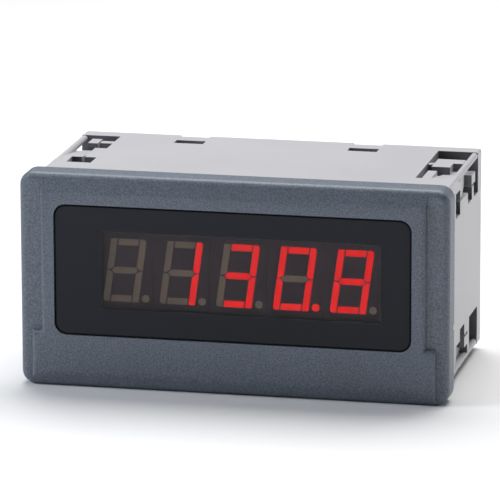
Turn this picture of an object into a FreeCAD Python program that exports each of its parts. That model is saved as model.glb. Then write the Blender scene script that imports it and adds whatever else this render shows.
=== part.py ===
import FreeCAD, Part
import math
import os

# Digital panel meter, 96 x 48 mm front, five-digit red LED display.
# Frame: X to the right, Y into the panel, Z up. The origin is the middle of the panel plane,
# so y = 0 is the bezel's rear face, which seats on the panel. All sizes are in millimetres.

V = FreeCAD.Vector

# Bezel: outline, front relief
BEZEL_WIDTH = 96.0
BEZEL_HEIGHT = 48.0
BEZEL_DEPTH = 7.5
BEZEL_CORNER = 3.0
STRIP_DROP = 1.2            # side strips lie this far behind the raised front panel
EDGE_ROUNDING = 1.6         # round of the front edges of the strips
PANEL_SIDE_MARGIN = 4.9     # bezel side to the foot of the raised panel, beside the window
BASE_SIDE_MARGIN = 2.7      # the same below the step, where the panel widens
PANEL_TOP_MARGIN = 1.27     # bezel top to the foot of the panel's top slope
STEP_HEIGHT = 12.8          # bezel bottom to the step in the panel's outline
STEP_CORNER = 0.5           # round of the step's outer corner
SIDE_ROUND_STEPS = 3        # flats that stand for the round of the panel's sides
TOP_SLOPE = 2.73            # height of the panel's top slope
BOTTOM_ROUND_HEIGHT = 4.2   # the panel's face curves back over its lowest stretch
BOTTOM_ROUND_DEPTH = 2.0

# Display window and its seat in the bezel
WINDOW_WIDTH = 79.6
WINDOW_HEIGHT = 29.2
WINDOW_CENTRE_Z = 2.76
WINDOW_CORNER = 2.6
WINDOW_THICKNESS = 1.8
WINDOW_INSET = 0.2          # pane's face behind the bezel's face
WINDOW_GAP = 0.15
WINDOW_CHAMFER = 0.35
WINDOW_LIP = 1.8            # width of the ledge that the pane rests on
BEZEL_WALL = 3.2            # front wall of the bezel, behind the raised panel

# Inner case, moulded with the bezel, and the boards' places in it
CASE_GAP = 0.1              # between inner case and sleeve, each side
CASE_WALL = 1.6
BOARD_THICKNESS = 1.6
BOARD_GAP = 0.1
DISPLAY_BOARD_LEDGE = 2.2   # shoulder in the case behind the display board's edge
RAIL_HEIGHT = 1.2           # guide ribs above and below the main board
RAIL_REACH = 2.0
RAIL_END_MARGIN = 1.5
PRY_NOTCH_LENGTH = 1.4
PRY_NOTCH_DEPTH = 0.45
PRY_NOTCH_REACH = 0.9
PRY_NOTCH_Z = -7.6

# Panel gasket in its groove in the bezel's rear face
GASKET_WIDTH = 1.0
GASKET_THICKNESS = 0.7
GASKET_MARGIN = 0.15        # sleeve to gasket

# Grey sleeve behind the panel: fits a 92 x 45 mm cut-out
SLEEVE_WIDTH = 91.6
SLEEVE_HEIGHT = 44.5
SLEEVE_LENGTH = 45.5
SLEEVE_WALL = 2.2
SLEEVE_CORNER = 0.5
REAR_EDGE_BEVEL = 0.3

# Clamp windows at the sleeve's four corners. Places along Y are counted from the front end of
# the window, places across a face from the sleeve's corner.
CLAMP_REACH = 9.05
CLAMP_LENGTH = 27.7
CLAMP_END_BAR = 4.4         # sleeve left standing behind the window
CORNER_BAR = 1.3            # strip along the corner that is cut away to a round rod
ROD_RADIUS = 0.75
ROD_START = 3.0
ROD_END_GAP = 0.5           # between the rod's free end and the ring behind it
LUG_INNER = 3.45
LUG_OUTER = 5.75
LUG_STEP = 1.7              # depth of the ramp in front of a lug
LEG_WIDTH = 1.45
TONGUE_END = 19.6
TONGUE_LUG_Y = 11.6
TONGUE_NICK = 7.6
TONGUE_NIB = 1.7
TONGUE_NIB_Y = 13.7
NIB_GAP = 0.25
TONGUE_LUG_OUTER = 5.0
LUG_LENGTH = 3.9
SIDE_SLOT_START = 6.2
SIDE_WINDOW_START = 17.6
FRONT_SLOT_LENGTH = 5.4
SLIT_WIDTH = 0.6
SLIT_LENGTH = 4.0
FINGER_SLOT_START = 15.0
FINGER_LUG_Y = 19.6
FINGER_LUG_LENGTH = 4.5
FINGER_BAR_WIDTH = 2.3
FINGER_GAP = 0.45

# Latch slots in the sleeve for the rear cover's snap arms
LATCH_SPACING = 40.0
LATCH_WIDTH = 6.8
LATCH_LENGTH = 3.0
LATCH_END_BAR = 5.4         # sleeve left standing behind the slot
LEAD_IN_DEPTH = 0.4
LEAD_IN_LENGTH = 1.6

# Rear cover
COVER_THICKNESS = 2.2
COVER_GAP = 0.1
ARM_WIDTH = 6.0
ARM_THICKNESS = 1.5
ARM_GAP = 0.2
HOOK_RISE = 1.5
HOOK_FLAT = 0.4
HOOK_GAP = 0.15
HEADER_GAP = 0.15
VENT_WIDTH = 1.6
VENT_LENGTH = 14.0
VENT_PITCH = 4.0
VENT_COUNT = 7
VENT_Z = 9.0

# Seven-segment digit modules
DIGIT_COUNT = 5
DIGIT_PITCH = 12.7
DIGIT_ROW_X = 1.0           # middle of the row of digits
MODULE_WIDTH = 12.6
MODULE_HEIGHT = 17.0
MODULE_DEPTH = 7.8
MODULE_FACE_Y = -5.0
DIGIT_HEIGHT = 14.2
DIGIT_WIDTH = 8.0
SEGMENT_WIDTH = 1.45
SEGMENT_GAP = 0.28
SEGMENT_DEPTH = 0.6
SEGMENT_ROUND = 0.7
DIGIT_SLANT = 8.0           # degrees
POINT_RADIUS = 0.88
POINT_SIDES = 16
POINT_OFFSET = 4.65
LIT_SEGMENTS = ["", "bc", "abcdg", "abcdefp", "abcdefg"]

# Boards and the parts on them
MAIN_BOARD_START = 5.0
MAIN_BOARD_END_GAP = 0.7
LINK_PIN_COUNT = 8
LINK_PITCH = 2.54
LINK_PIN = 0.64
LINK_BODY = 2.54
LINK_PIN_TAIL = 1.0
DRIVER_CHIP = (7.5, 2.3, 15.4)      # across, off the board, along
DRIVER_CHIP_X = 2.0
PROCESSOR_SIDE = 8.0
PROCESSOR_HEIGHT = 1.6
PROCESSOR_X = 6.0
PROCESSOR_Y = 28.0
CONVERTER_CHIP = (9.0, 2.3, 7.5)
CONVERTER_X = -5.4
CONVERTER_Y = 26.5
LEAD_PITCH = 1.27
LEAD_WIDTH = 0.45
LEAD_THICKNESS = 0.25
LEAD_REACH = 1.3
CRYSTAL_LENGTH = 11.4
CRYSTAL_WIDTH = 4.7
CRYSTAL_HEIGHT = 3.6
CRYSTAL_CORNER = 2.2
CRYSTAL_FLANGE = 0.4        # reach and height of the can's flange
CRYSTAL_X = 7.0
CRYSTAL_Y = 17.5
SMOOTHING_RADIUS = 5.0
SMOOTHING_HEIGHT = 16.0
SMOOTHING_X = -4.5
SMOOTHING_Y = 13.6
FILTER_RADIUS = 4.0
FILTER_HEIGHT = 11.5
FILTER_X = 17.0
FILTER_Y = 12.0
CAN_GROOVE = 0.4            # depth of the rolled groove
CAN_GROOVE_Z = 1.6          # groove's lower edge above the board
CAN_SIDES = 24
VARISTOR_RADIUS = 4.0
VARISTOR_THICKNESS = 3.4
VARISTOR_X = 34.0
VARISTOR_Y = 27.0
REGULATOR_X = 30.0
REGULATOR_Y = 13.0
REGULATOR_WIDTH = 10.0
REGULATOR_BODY_HEIGHT = 9.0
REGULATOR_BODY_DEPTH = 4.4
REGULATOR_TAB_HEIGHT = 15.0
REGULATOR_TAB_THICKNESS = 1.3
REGULATOR_HOLE = 1.9
REGULATOR_STANDOFF = 2.5

# Mains transformer: laminated core, bobbin and winding
CORE_WIDTH = 30.0
CORE_HEAD_ROOM = 3.65       # between the core and the case above it
COIL_CLEARANCE = 2.8        # between the coil and what stands before and behind it
CORE_LIMB = 5.0
BOBBIN_WALL = 0.8
BOBBIN_FLANGE = 1.0
WINDING_MARGIN = 0.5
BOBBIN_BASE = 3.0
TRANSFORMER_X = -26.0

# Pull-off screw terminals
TERMINAL_PITCH = 5.08
SIGNAL_WAY_COUNT = 4
SIGNAL_X = -21.0
SUPPLY_WAY_COUNT = 2
SUPPLY_X = 24.0
TERMINALS = (("signal", SIGNAL_WAY_COUNT, SIGNAL_X), ("supply", SUPPLY_WAY_COUNT, SUPPLY_X))
NOSE_HEIGHT = 8.6
NOSE_SIDE_CUT = 0.5
NOSE_LENGTH = 8.5
PLUG_CLEARANCE = 0.2
HEADER_WALL = 1.0
HEADER_LENGTH = 12.0
HEADER_BACK = 2.5
PLUG_STANDOFF = 0.3
PLUG_DEPTH = 10.2
PLUG_HEIGHT = 15.0
PLUG_BEVEL = 2.0
PLUG_RISE = 9.25            # plug's bottom above the sleeve's bottom
PIN_SIZE = 1.0
PIN_LENGTH = 7.0
PIN_TAIL = 3.4
CONTACT_WIDTH = 2.2
CONTACT_THICKNESS = 0.6
CONTACT_GAP = 0.1
CONTACT_BLADE = 0.5
CONTACT_HEIGHT = 5.2        # middle of the contact above the plug's bottom
CHAMBER_WALL = 1.5
CHAMBER_FLOOR = 1.0
CHAMBER_HEAD_ROOM = 0.9     # above the cage when the clamp is shut
CAGE_WIDTH = 3.8
CAGE_DEPTH = 4.9
CAGE_HEIGHT = 6.6
CAGE_SIDE = 0.6
CAGE_BOTTOM = 0.8
CAGE_TOP = 1.4
CAGE_CLEARANCE = 0.15
CAGE_REST = 0.3             # cage above the chamber's floor with the clamp open
CAGE_LIFT = 1.5             # travel of the cage over three turns of its screw
SCREW_RADIUS = 1.45
SCREW_HEAD_RADIUS = 1.9
SCREW_HEAD_HEIGHT = 1.8
SCREW_CLEARANCE = 0.1
BORE_SIDES = 12
SHANK_SIDES = 12
HEAD_SIDES = 24
SCREW_SLOT_WIDTH = 0.6
SCREW_SLOT_DEPTH = 0.8
SCREW_END = 6.2             # screw's tip above the plug's bottom
LEDGE_THICKNESS = 1.0
WIRE_HOLE_WIDTH = 3.0
WIRE_HOLE_HEIGHT = 2.8

OVERCUT = 1.0               # how far cutting solids run past what they cut
TOUCH = 1e-6                # places nearer than this are one place

FRONT_Y = -BEZEL_DEPTH
STRIP_Y = FRONT_Y + STRIP_DROP
CAVITY_Y = FRONT_Y + BEZEL_WALL
WINDOW_FRONT = FRONT_Y + WINDOW_INSET
WINDOW_BACK = WINDOW_FRONT + WINDOW_THICKNESS
DISPLAY_BOARD_Y = MODULE_FACE_Y + MODULE_DEPTH
CASE_WIDTH = SLEEVE_WIDTH - 2 * (SLEEVE_WALL + CASE_GAP)
CASE_HEIGHT = SLEEVE_HEIGHT - 2 * (SLEEVE_WALL + CASE_GAP)
CASE_INNER_WIDTH = CASE_WIDTH - 2 * CASE_WALL
CASE_INNER_HEIGHT = CASE_HEIGHT - 2 * CASE_WALL
CLAMP_Y = SLEEVE_LENGTH - CLAMP_END_BAR - CLAMP_LENGTH
LATCH_FRONT = SLEEVE_LENGTH - LATCH_END_BAR - LATCH_LENGTH
COVER_Y = SLEEVE_LENGTH - COVER_THICKNESS
HEADER_HALF_HEIGHT = NOSE_HEIGHT / 2 + PLUG_CLEARANCE + HEADER_WALL
PLUG_BOTTOM = PLUG_RISE - SLEEVE_HEIGHT / 2
PIN_Z = PLUG_BOTTOM + CONTACT_HEIGHT
BOARD_TOP = PIN_Z - HEADER_HALF_HEIGHT
BOARD_BOTTOM = BOARD_TOP - BOARD_THICKNESS
PLUG_Y = SLEEVE_LENGTH + PLUG_STANDOFF
PLUG_END = PLUG_Y + PLUG_DEPTH
NOSE_Y = SLEEVE_LENGTH - NOSE_LENGTH
HEADER_Y = SLEEVE_LENGTH - HEADER_LENGTH
CHAMBER_DEPTH = CAGE_DEPTH + 2 * CAGE_CLEARANCE
CHAMBER_HEIGHT = CAGE_REST + CAGE_HEIGHT + CAGE_LIFT + CHAMBER_HEAD_ROOM
CHAMBER_Y = PLUG_END - CHAMBER_WALL - CHAMBER_DEPTH
SCREW_Y = CHAMBER_Y + CHAMBER_DEPTH / 2


def box(x0, x1, y0, y1, z0, z1):
    """Upright block between two opposite corners."""
    return Part.makeBox(x1 - x0, y1 - y0, z1 - z0, V(x0, y0, z0))


def rounded_wire(points, radii, y=0.0):
    """Closed wire through XZ points at depth y, each corner rounded by its own radius."""
    corners = [V(x, y, z) for x, z in points]
    arcs = []
    for index, corner in enumerate(corners):
        back = (corners[index - 1] - corner).normalize()
        on = (corners[(index + 1) % len(corners)] - corner).normalize()
        half = back.getAngle(on) / 2
        radius = radii[index]
        reach = radius / math.tan(half)
        middle = corner + (back + on).normalize() * (radius / math.sin(half) - radius)
        arcs.append((corner + back * reach, middle, corner + on * reach))
    edges = []
    for index, (start, middle, end) in enumerate(arcs):
        if radii[index] > 0:
            edges.append(Part.Arc(start, middle, end).toShape())
        following = arcs[(index + 1) % len(arcs)][0]
        if end.distanceToPoint(following) > TOUCH:
            edges.append(Part.LineSegment(end, following).toShape())
    return Part.Wire(edges)


def plate(width, height, radius, y0, y1, x=0.0, z=0.0):
    """Rounded rectangle in the XZ plane, from y0 to y1."""
    a = width / 2
    b = height / 2
    points = [(x - a, z - b), (x + a, z - b), (x + a, z + b), (x - a, z + b)]
    wire = rounded_wire(points, [radius] * 4, y0)
    return Part.Face(wire).extrude(V(0, y1 - y0, 0))


def side_profile(points, x0, x1):
    """Prism along X with a YZ outline."""
    wire = Part.makePolygon([V(x0, y, z) for y, z in points + points[:1]])
    return Part.Face(wire).extrude(V(x1 - x0, 0, 0))


def cylinder(radius, height, x, y, z, direction=V(0, 0, 1)):
    """Cylinder that starts at a point and runs along a direction."""
    return Part.makeCylinder(radius, height, V(x, y, z), direction)


def regular(sides, radius):
    """Corners of a regular outline, as pairs round its middle."""
    steps = [2 * math.pi * (i + 0.5) / sides for i in range(sides)]
    return [(radius * math.cos(a), radius * math.sin(a)) for a in steps]


def ring(sides, radius, x, y, z):
    """Closed level wire with many equal sides."""
    corners = regular(sides, radius)
    return Part.makePolygon([V(x + u, y + v, z) for u, v in corners + corners[:1]])


def prism(sides, radius, height, x, y, z):
    """Upright prism with many equal sides."""
    return Part.Face(ring(sides, radius, x, y, z)).extrude(V(0, 0, height))


def bore(radius, height, x, y, z):
    """Upright many-sided bore that clears a shank of the given radius."""
    return prism(BORE_SIDES, radius / math.cos(math.pi / BORE_SIDES), height, x, y, z)


def fuse(shapes):
    """One solid from touching shapes, with split faces merged."""
    return shapes[0].multiFuse(shapes[1:]).removeSplitter()


def front_panel():
    """Raised panel of the bezel: rounded sides, sloped top, wider below the step."""
    half_width = BEZEL_WIDTH / 2
    half_height = BEZEL_HEIGHT / 2

    def outline(angle):
        """Outline where the side round has turned by the angle from the front face."""
        inset = STRIP_DROP * (1 - math.sin(angle))
        depth = STRIP_DROP * (1 - math.cos(angle))
        narrow = half_width - PANEL_SIDE_MARGIN - inset
        wide = half_width - BASE_SIDE_MARGIN - inset
        top = half_height - PANEL_TOP_MARGIN - TOP_SLOPE * (1 - depth / STRIP_DROP)
        step = STEP_HEIGHT - half_height - inset
        right = [(wide, -half_height), (wide, step), (narrow, step), (narrow, top)]
        left = [(-x, z) for x, z in reversed(right)]
        radii = [0, STEP_CORNER, 0, 0]
        return rounded_wire(right + left, radii + radii[::-1], FRONT_Y + depth)

    turns = [math.pi / 2 * i / SIDE_ROUND_STEPS for i in range(SIDE_ROUND_STEPS + 1)]
    wires = [outline(angle) for angle in turns]
    root = Part.Face(wires[-1]).extrude(V(0, EDGE_ROUNDING, 0))
    return fuse([Part.makeLoft(wires, True, True), root])


def bezel():
    """Front bezel with its inner case, which runs back inside the sleeve."""
    frame = plate(BEZEL_WIDTH, BEZEL_HEIGHT, BEZEL_CORNER, STRIP_Y, 0)
    front_edges = [e for e in frame.Edges if all(abs(v.Y - STRIP_Y) < TOUCH for v in e.Vertexes)]
    frame = frame.makeFillet(EDGE_ROUNDING, front_edges)
    bottom = -BEZEL_HEIGHT / 2
    radius = (BOTTOM_ROUND_HEIGHT ** 2 + BOTTOM_ROUND_DEPTH ** 2) / (2 * BOTTOM_ROUND_DEPTH)
    round_z = bottom + BOTTOM_ROUND_HEIGHT
    below = box(-BEZEL_WIDTH, BEZEL_WIDTH, FRONT_Y - OVERCUT, FRONT_Y + radius,
                bottom - radius, round_z)
    barrel = cylinder(radius, 2 * BEZEL_WIDTH, -BEZEL_WIDTH, FRONT_Y + radius, round_z, V(1, 0, 0))
    body = fuse([frame, front_panel().cut(below.cut(barrel))])

    case = plate(CASE_WIDTH, CASE_HEIGHT, 0, -OVERCUT, COVER_Y)
    body = fuse([body, case])

    opening_width = WINDOW_WIDTH + 2 * WINDOW_GAP
    opening_height = WINDOW_HEIGHT + 2 * WINDOW_GAP
    cuts = [
        plate(opening_width, opening_height, WINDOW_CORNER + WINDOW_GAP,
              FRONT_Y - OVERCUT, WINDOW_BACK, z=WINDOW_CENTRE_Z),
        plate(WINDOW_WIDTH - 2 * WINDOW_LIP, WINDOW_HEIGHT - 2 * WINDOW_LIP, 0,
              WINDOW_BACK - OVERCUT, CAVITY_Y + OVERCUT, z=WINDOW_CENTRE_Z),
        plate(CASE_INNER_WIDTH - 2 * DISPLAY_BOARD_LEDGE, CASE_INNER_HEIGHT - 2 * DISPLAY_BOARD_LEDGE,
              0, CAVITY_Y, DISPLAY_BOARD_Y + OVERCUT),
        plate(CASE_INNER_WIDTH, CASE_INNER_HEIGHT, 0, DISPLAY_BOARD_Y, COVER_Y + OVERCUT),
        gasket_ring(-GASKET_THICKNESS, OVERCUT),
    ]
    for side in (-1, 1):
        inner = side * (BEZEL_WIDTH / 2 - PRY_NOTCH_DEPTH)
        outer = side * (BEZEL_WIDTH / 2 + OVERCUT)
        cuts.append(box(min(inner, outer), max(inner, outer), -PRY_NOTCH_REACH, OVERCUT,
                        PRY_NOTCH_Z - PRY_NOTCH_LENGTH / 2, PRY_NOTCH_Z + PRY_NOTCH_LENGTH / 2))
    for x in (-LATCH_SPACING / 2, LATCH_SPACING / 2):
        half = ARM_WIDTH / 2 + ARM_GAP
        for side in (-1, 1):
            inner = side * (CASE_INNER_HEIGHT / 2 - OVERCUT)
            outer = side * (CASE_HEIGHT / 2 + OVERCUT)
            cuts.append(box(x - half, x + half, LATCH_FRONT - ARM_GAP - HOOK_RISE, COVER_Y + OVERCUT,
                            min(inner, outer), max(inner, outer)))
    body = body.cut(cuts)

    rails = []
    rail_start = MAIN_BOARD_START + RAIL_END_MARGIN
    rail_end = COVER_Y - RAIL_END_MARGIN
    for side in (-1, 1):
        wall = side * CASE_INNER_WIDTH / 2
        edge = wall - side * RAIL_REACH
        for low in (BOARD_TOP, BOARD_BOTTOM - RAIL_HEIGHT):
            rails.append(box(min(wall, edge), max(wall, edge), rail_start, rail_end,
                             low, low + RAIL_HEIGHT))
    return fuse([body] + rails)


def gasket_ring(y0, y1):
    """Rectangular ring round the sleeve, from y0 to y1."""
    inner_width = SLEEVE_WIDTH + 2 * GASKET_MARGIN
    inner_height = SLEEVE_HEIGHT + 2 * GASKET_MARGIN
    outer = plate(inner_width + 2 * GASKET_WIDTH, inner_height + 2 * GASKET_WIDTH,
                  GASKET_WIDTH, y0, y1)
    inner = plate(inner_width, inner_height, 0, y0 - OVERCUT, y1 + OVERCUT)
    return outer.cut(inner)


def display_window():
    """Smoked acrylic pane with a small chamfer round its face."""
    pane = plate(WINDOW_WIDTH, WINDOW_HEIGHT, WINDOW_CORNER, WINDOW_FRONT, WINDOW_BACK,
                 z=WINDOW_CENTRE_Z)
    edges = [e for e in pane.Edges if all(abs(v.Y - WINDOW_FRONT) < TOUCH for v in e.Vertexes)]
    return pane.makeChamfer(WINDOW_CHAMFER, edges)


def at_corner(across, along, depth, corner, face):
    """Block at one corner of the sleeve. across is counted from the corner along the face,
    along runs back from the clamp window's front end, and depth is counted inwards from the face."""
    side_x, side_z = corner
    if face == "level":
        xs = [side_x * (SLEEVE_WIDTH / 2 - u) for u in across]
        zs = [side_z * (SLEEVE_HEIGHT / 2 - d) for d in depth]
    else:
        xs = [side_x * (SLEEVE_WIDTH / 2 - d) for d in depth]
        zs = [side_z * (SLEEVE_HEIGHT / 2 - u) for u in across]
    return box(min(xs), max(xs), CLAMP_Y + along[0], CLAMP_Y + along[1], min(zs), max(zs))


def ramp_at_corner(across, along, depth, corner, face):
    """Wedge that starts at the face and is depth deep at the far end of along."""
    side_x, side_z = corner
    start, end = along
    profile = [(start, 0.0), (end, depth), (end, -OVERCUT), (start, -OVERCUT)]
    points = []
    for y, d in profile:
        if face == "level":
            x = side_x * (SLEEVE_WIDTH / 2 - across[0])
            z = side_z * (SLEEVE_HEIGHT / 2 - d)
        else:
            x = side_x * (SLEEVE_WIDTH / 2 - d)
            z = side_z * (SLEEVE_HEIGHT / 2 - across[0])
        points.append(V(x, CLAMP_Y + y, z))
    width = across[1] - across[0]
    shift = V(-side_x * width, 0, 0) if face == "level" else V(0, 0, -side_z * width)
    return Part.Face(Part.makePolygon(points + points[:1])).extrude(shift)


def tongue_cuts(corner, face, free):
    """Cuts round a springy clamp tongue with its lug. A free tongue has a slot all along its
    inner side and a small nib across it; the other kind is tied to the face beside its lug."""
    through = (-OVERCUT, SLEEVE_WALL + CASE_GAP)
    outer = TONGUE_LUG_OUTER if free else LUG_OUTER
    lug_back = TONGUE_LUG_Y + LUG_LENGTH
    leg = (CLAMP_REACH - LEG_WIDTH, CLAMP_REACH)
    window_start = TONGUE_END if free else SIDE_WINDOW_START
    spaces = [((CORNER_BAR, CLAMP_REACH), (window_start, CLAMP_LENGTH), through),
              ((CORNER_BAR, LUG_INNER), (TONGUE_LUG_Y, lug_back), (-OVERCUT, LUG_STEP))]
    if free:
        nib_end = TONGUE_NIB_Y + TONGUE_NIB
        spaces += [(leg, (0, TONGUE_NIB_Y), through),
                   (leg, (nib_end, TONGUE_END), through),
                   ((CLAMP_REACH - NIB_GAP, CLAMP_REACH), (TONGUE_NIB_Y, nib_end), through),
                   ((outer, leg[0]), (TONGUE_NICK, TONGUE_LUG_Y), through)]
    else:
        spaces += [((outer, CLAMP_REACH), (SIDE_SLOT_START, TONGUE_LUG_Y), through),
                   ((outer, outer + SLIT_WIDTH), (TONGUE_LUG_Y, lug_back), through)]
    cuts = [at_corner(across, along, depth, corner, face) for across, along, depth in spaces]
    ramp = (CORNER_BAR, outer + SLIT_WIDTH)
    cuts.append(ramp_at_corner(ramp, (0, TONGUE_LUG_Y), LUG_STEP, corner, face))
    return cuts


def finger_cuts(corner, face):
    """Cuts round a lug that stands in three slots, with a cross bar beside it."""
    through = (-OVERCUT, SLEEVE_WALL + CASE_GAP)
    slot_end = FRONT_SLOT_LENGTH
    lug_back = FINGER_LUG_Y + FINGER_LUG_LENGTH
    bar_start = FINGER_LUG_Y + FINGER_GAP
    bar_end = bar_start + FINGER_BAR_WIDTH
    beside = LUG_OUTER + FINGER_GAP
    spaces = [((LUG_INNER, CLAMP_REACH), (0, slot_end), through),
              ((LUG_OUTER, LUG_OUTER + SLIT_WIDTH), (slot_end, slot_end + SLIT_LENGTH), through),
              ((LUG_OUTER, CLAMP_REACH), (FINGER_SLOT_START, bar_start), through),
              ((LUG_OUTER, beside), (bar_start, bar_end), through),
              ((LUG_OUTER, CLAMP_REACH), (bar_end, CLAMP_LENGTH), through),
              ((CORNER_BAR, LUG_OUTER), (lug_back, CLAMP_LENGTH), through),
              ((CORNER_BAR, LUG_INNER), (FINGER_LUG_Y - FINGER_GAP, lug_back), through)]
    cuts = [at_corner(across, along, depth, corner, face) for across, along, depth in spaces]
    ramp = (CORNER_BAR, LUG_OUTER + SLIT_WIDTH)
    cuts.append(ramp_at_corner(ramp, (slot_end, FINGER_LUG_Y), LUG_STEP, corner, face))
    return cuts


def housing():
    """Light-grey sleeve with clamp windows at its corners and latch slots near the rear."""
    tube = plate(SLEEVE_WIDTH, SLEEVE_HEIGHT, SLEEVE_CORNER, 0, SLEEVE_LENGTH)
    rear_edges = [e for e in tube.Edges if all(abs(v.Y - SLEEVE_LENGTH) < TOUCH for v in e.Vertexes)]
    tube = tube.makeChamfer(REAR_EDGE_BEVEL, rear_edges)
    bore = plate(SLEEVE_WIDTH - 2 * SLEEVE_WALL, SLEEVE_HEIGHT - 2 * SLEEVE_WALL, 0,
                 -OVERCUT, SLEEVE_LENGTH + OVERCUT)
    cuts = []
    for corner in ((1, 1), (-1, -1)):
        cuts += tongue_cuts(corner, "level", free=True)
        cuts += finger_cuts(corner, "upright")
    for corner in ((-1, 1), (1, -1)):
        cuts += finger_cuts(corner, "level")
        cuts += tongue_cuts(corner, "upright", free=False)
    rods = []
    rod_length = CLAMP_LENGTH - ROD_END_GAP - ROD_START + OVERCUT
    for side_x, side_z in ((1, 1), (-1, -1), (-1, 1), (1, -1)):
        cuts.append(at_corner((-OVERCUT, CORNER_BAR), (ROD_START, CLAMP_LENGTH),
                              (-OVERCUT, CORNER_BAR), (side_x, side_z), "level"))
        rods.append(cylinder(ROD_RADIUS, rod_length, side_x * (SLEEVE_WIDTH / 2 - ROD_RADIUS),
                             CLAMP_Y + ROD_START - OVERCUT,
                             side_z * (SLEEVE_HEIGHT / 2 - ROD_RADIUS), V(0, 1, 0)))
    for x in (-LATCH_SPACING / 2, LATCH_SPACING / 2):
        x0 = x - LATCH_WIDTH / 2
        x1 = x + LATCH_WIDTH / 2
        outside = SLEEVE_HEIGHT / 2
        for side in (-1, 1):
            slot = sorted([side * (outside + OVERCUT), side * (outside - SLEEVE_WALL - OVERCUT)])
            lead = sorted([side * (outside + OVERCUT), side * (outside - LEAD_IN_DEPTH)])
            cuts.append(box(x0, x1, LATCH_FRONT, LATCH_FRONT + LATCH_LENGTH, *slot))
            cuts.append(box(x0, x1, SLEEVE_LENGTH - LEAD_IN_LENGTH, SLEEVE_LENGTH + OVERCUT, *lead))
    return fuse([tube.cut([bore] + cuts)] + rods)


def rear_cover():
    """Rear cover with openings for the headers, vents and four snap arms."""
    width = SLEEVE_WIDTH - 2 * (SLEEVE_WALL + COVER_GAP)
    height = SLEEVE_HEIGHT - 2 * (SLEEVE_WALL + COVER_GAP)
    cover = plate(width, height, 0, COVER_Y, SLEEVE_LENGTH)
    arms = []
    hook_start = LATCH_FRONT + HOOK_GAP
    hook_end = LATCH_FRONT + LATCH_LENGTH - HOOK_GAP
    top = height / 2
    outline = [(COVER_Y + OVERCUT, top - ARM_THICKNESS), (COVER_Y + OVERCUT, top),
               (hook_end, top), (hook_end, top + HOOK_RISE), (hook_end - HOOK_FLAT, top + HOOK_RISE),
               (hook_start, top), (hook_start - HOOK_RISE, top - ARM_THICKNESS / 2),
               (hook_start - HOOK_RISE, top - ARM_THICKNESS)]
    for x in (-LATCH_SPACING / 2, LATCH_SPACING / 2):
        for side in (-1, 1):
            profile = [(y, side * z) for y, z in outline]
            arms.append(side_profile(profile, x - ARM_WIDTH / 2, x + ARM_WIDTH / 2))
    body = fuse([cover] + arms)
    cuts = []
    for _, ways, x in TERMINALS:
        half = header_width(ways) / 2 + HEADER_GAP
        rise = HEADER_HALF_HEIGHT + HEADER_GAP
        cuts.append(box(x - half, x + half, COVER_Y - OVERCUT, SLEEVE_LENGTH + OVERCUT,
                        PIN_Z - rise, PIN_Z + rise))
    for index in range(VENT_COUNT):
        x = (index - (VENT_COUNT - 1) / 2) * VENT_PITCH
        cuts.append(plate(VENT_WIDTH, VENT_LENGTH, 0, COVER_Y - OVERCUT,
                          SLEEVE_LENGTH + OVERCUT, x=x, z=VENT_Z))
    return body.cut(cuts)


def segment_outlines():
    """Upright seven-segment shapes as XZ points, centred on the digit. Two corners of the
    digit are rounded off in two short steps."""
    a = DIGIT_WIDTH / 2
    b = DIGIT_HEIGHT / 2
    t = SEGMENT_WIDTH
    g = SEGMENT_GAP
    inner = a - t
    point = a - t / 2
    bar = [(-inner + g, b - t), (inner - g, b - t), (inner - g, b), (-inner + g, b)]
    r = SEGMENT_ROUND
    near = r - r / math.sqrt(2)
    post = [(inner, t / 2), (point, g / 2), (a, g / 2), (a, b), (inner, b)]
    round_post = post[:3] + [(a, b - r), (a - near, b - near), (a - r, b)] + post[4:]
    middle = [(-point + g, 0), (-inner + g, -t / 2), (inner - g, -t / 2),
              (point - g, 0), (inner - g, t / 2), (-inner + g, t / 2)]
    return {
        "a": bar,
        "b": round_post,
        "c": [(x, -z) for x, z in post],
        "d": [(x, -z) for x, z in bar],
        "e": [(-x, -z) for x, z in round_post],
        "f": [(-x, z) for x, z in post],
        "g": middle,
    }


def segment(name, x):
    """One light segment of the digit at x, let into the module's face."""
    lean = math.tan(math.radians(DIGIT_SLANT))
    if name == "p":
        z = WINDOW_CENTRE_Z - DIGIT_HEIGHT / 2 + POINT_RADIUS
        points = [(x + POINT_OFFSET + u, z + v) for u, v in regular(POINT_SIDES, POINT_RADIUS)]
    else:
        points = [(x + u + v * lean, WINDOW_CENTRE_Z + v) for u, v in segment_outlines()[name]]
    face = Part.Face(Part.makePolygon([V(u, MODULE_FACE_Y, v) for u, v in points + points[:1]]))
    return face.extrude(V(0, SEGMENT_DEPTH, 0))


def digit_x(index):
    """Middle of a digit, counted from the left."""
    return DIGIT_ROW_X + (index - (DIGIT_COUNT - 1) / 2) * DIGIT_PITCH


def digit_module(index):
    """Moulded body of one digit, with a pocket for each of its segments."""
    x = digit_x(index)
    body = plate(MODULE_WIDTH, MODULE_HEIGHT, 0, MODULE_FACE_Y, DISPLAY_BOARD_Y,
                 x=x, z=WINDOW_CENTRE_Z)
    return body.cut([segment(name, x) for name in "abcdefgp"])


def display_board():
    """Upright board behind the digits, drilled for the board link."""
    width = CASE_INNER_WIDTH - 2 * BOARD_GAP
    height = CASE_INNER_HEIGHT - 2 * BOARD_GAP
    board = plate(width, height, 0, DISPLAY_BOARD_Y, DISPLAY_BOARD_Y + BOARD_THICKNESS)
    z = BOARD_TOP + LINK_BODY / 2
    holes = []
    for x in link_pin_places():
        holes.append(box(x - LINK_PIN / 2, x + LINK_PIN / 2, DISPLAY_BOARD_Y - OVERCUT,
                         DISPLAY_BOARD_Y + BOARD_THICKNESS + OVERCUT, z - LINK_PIN / 2, z + LINK_PIN / 2))
    return board.cut(holes)


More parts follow.
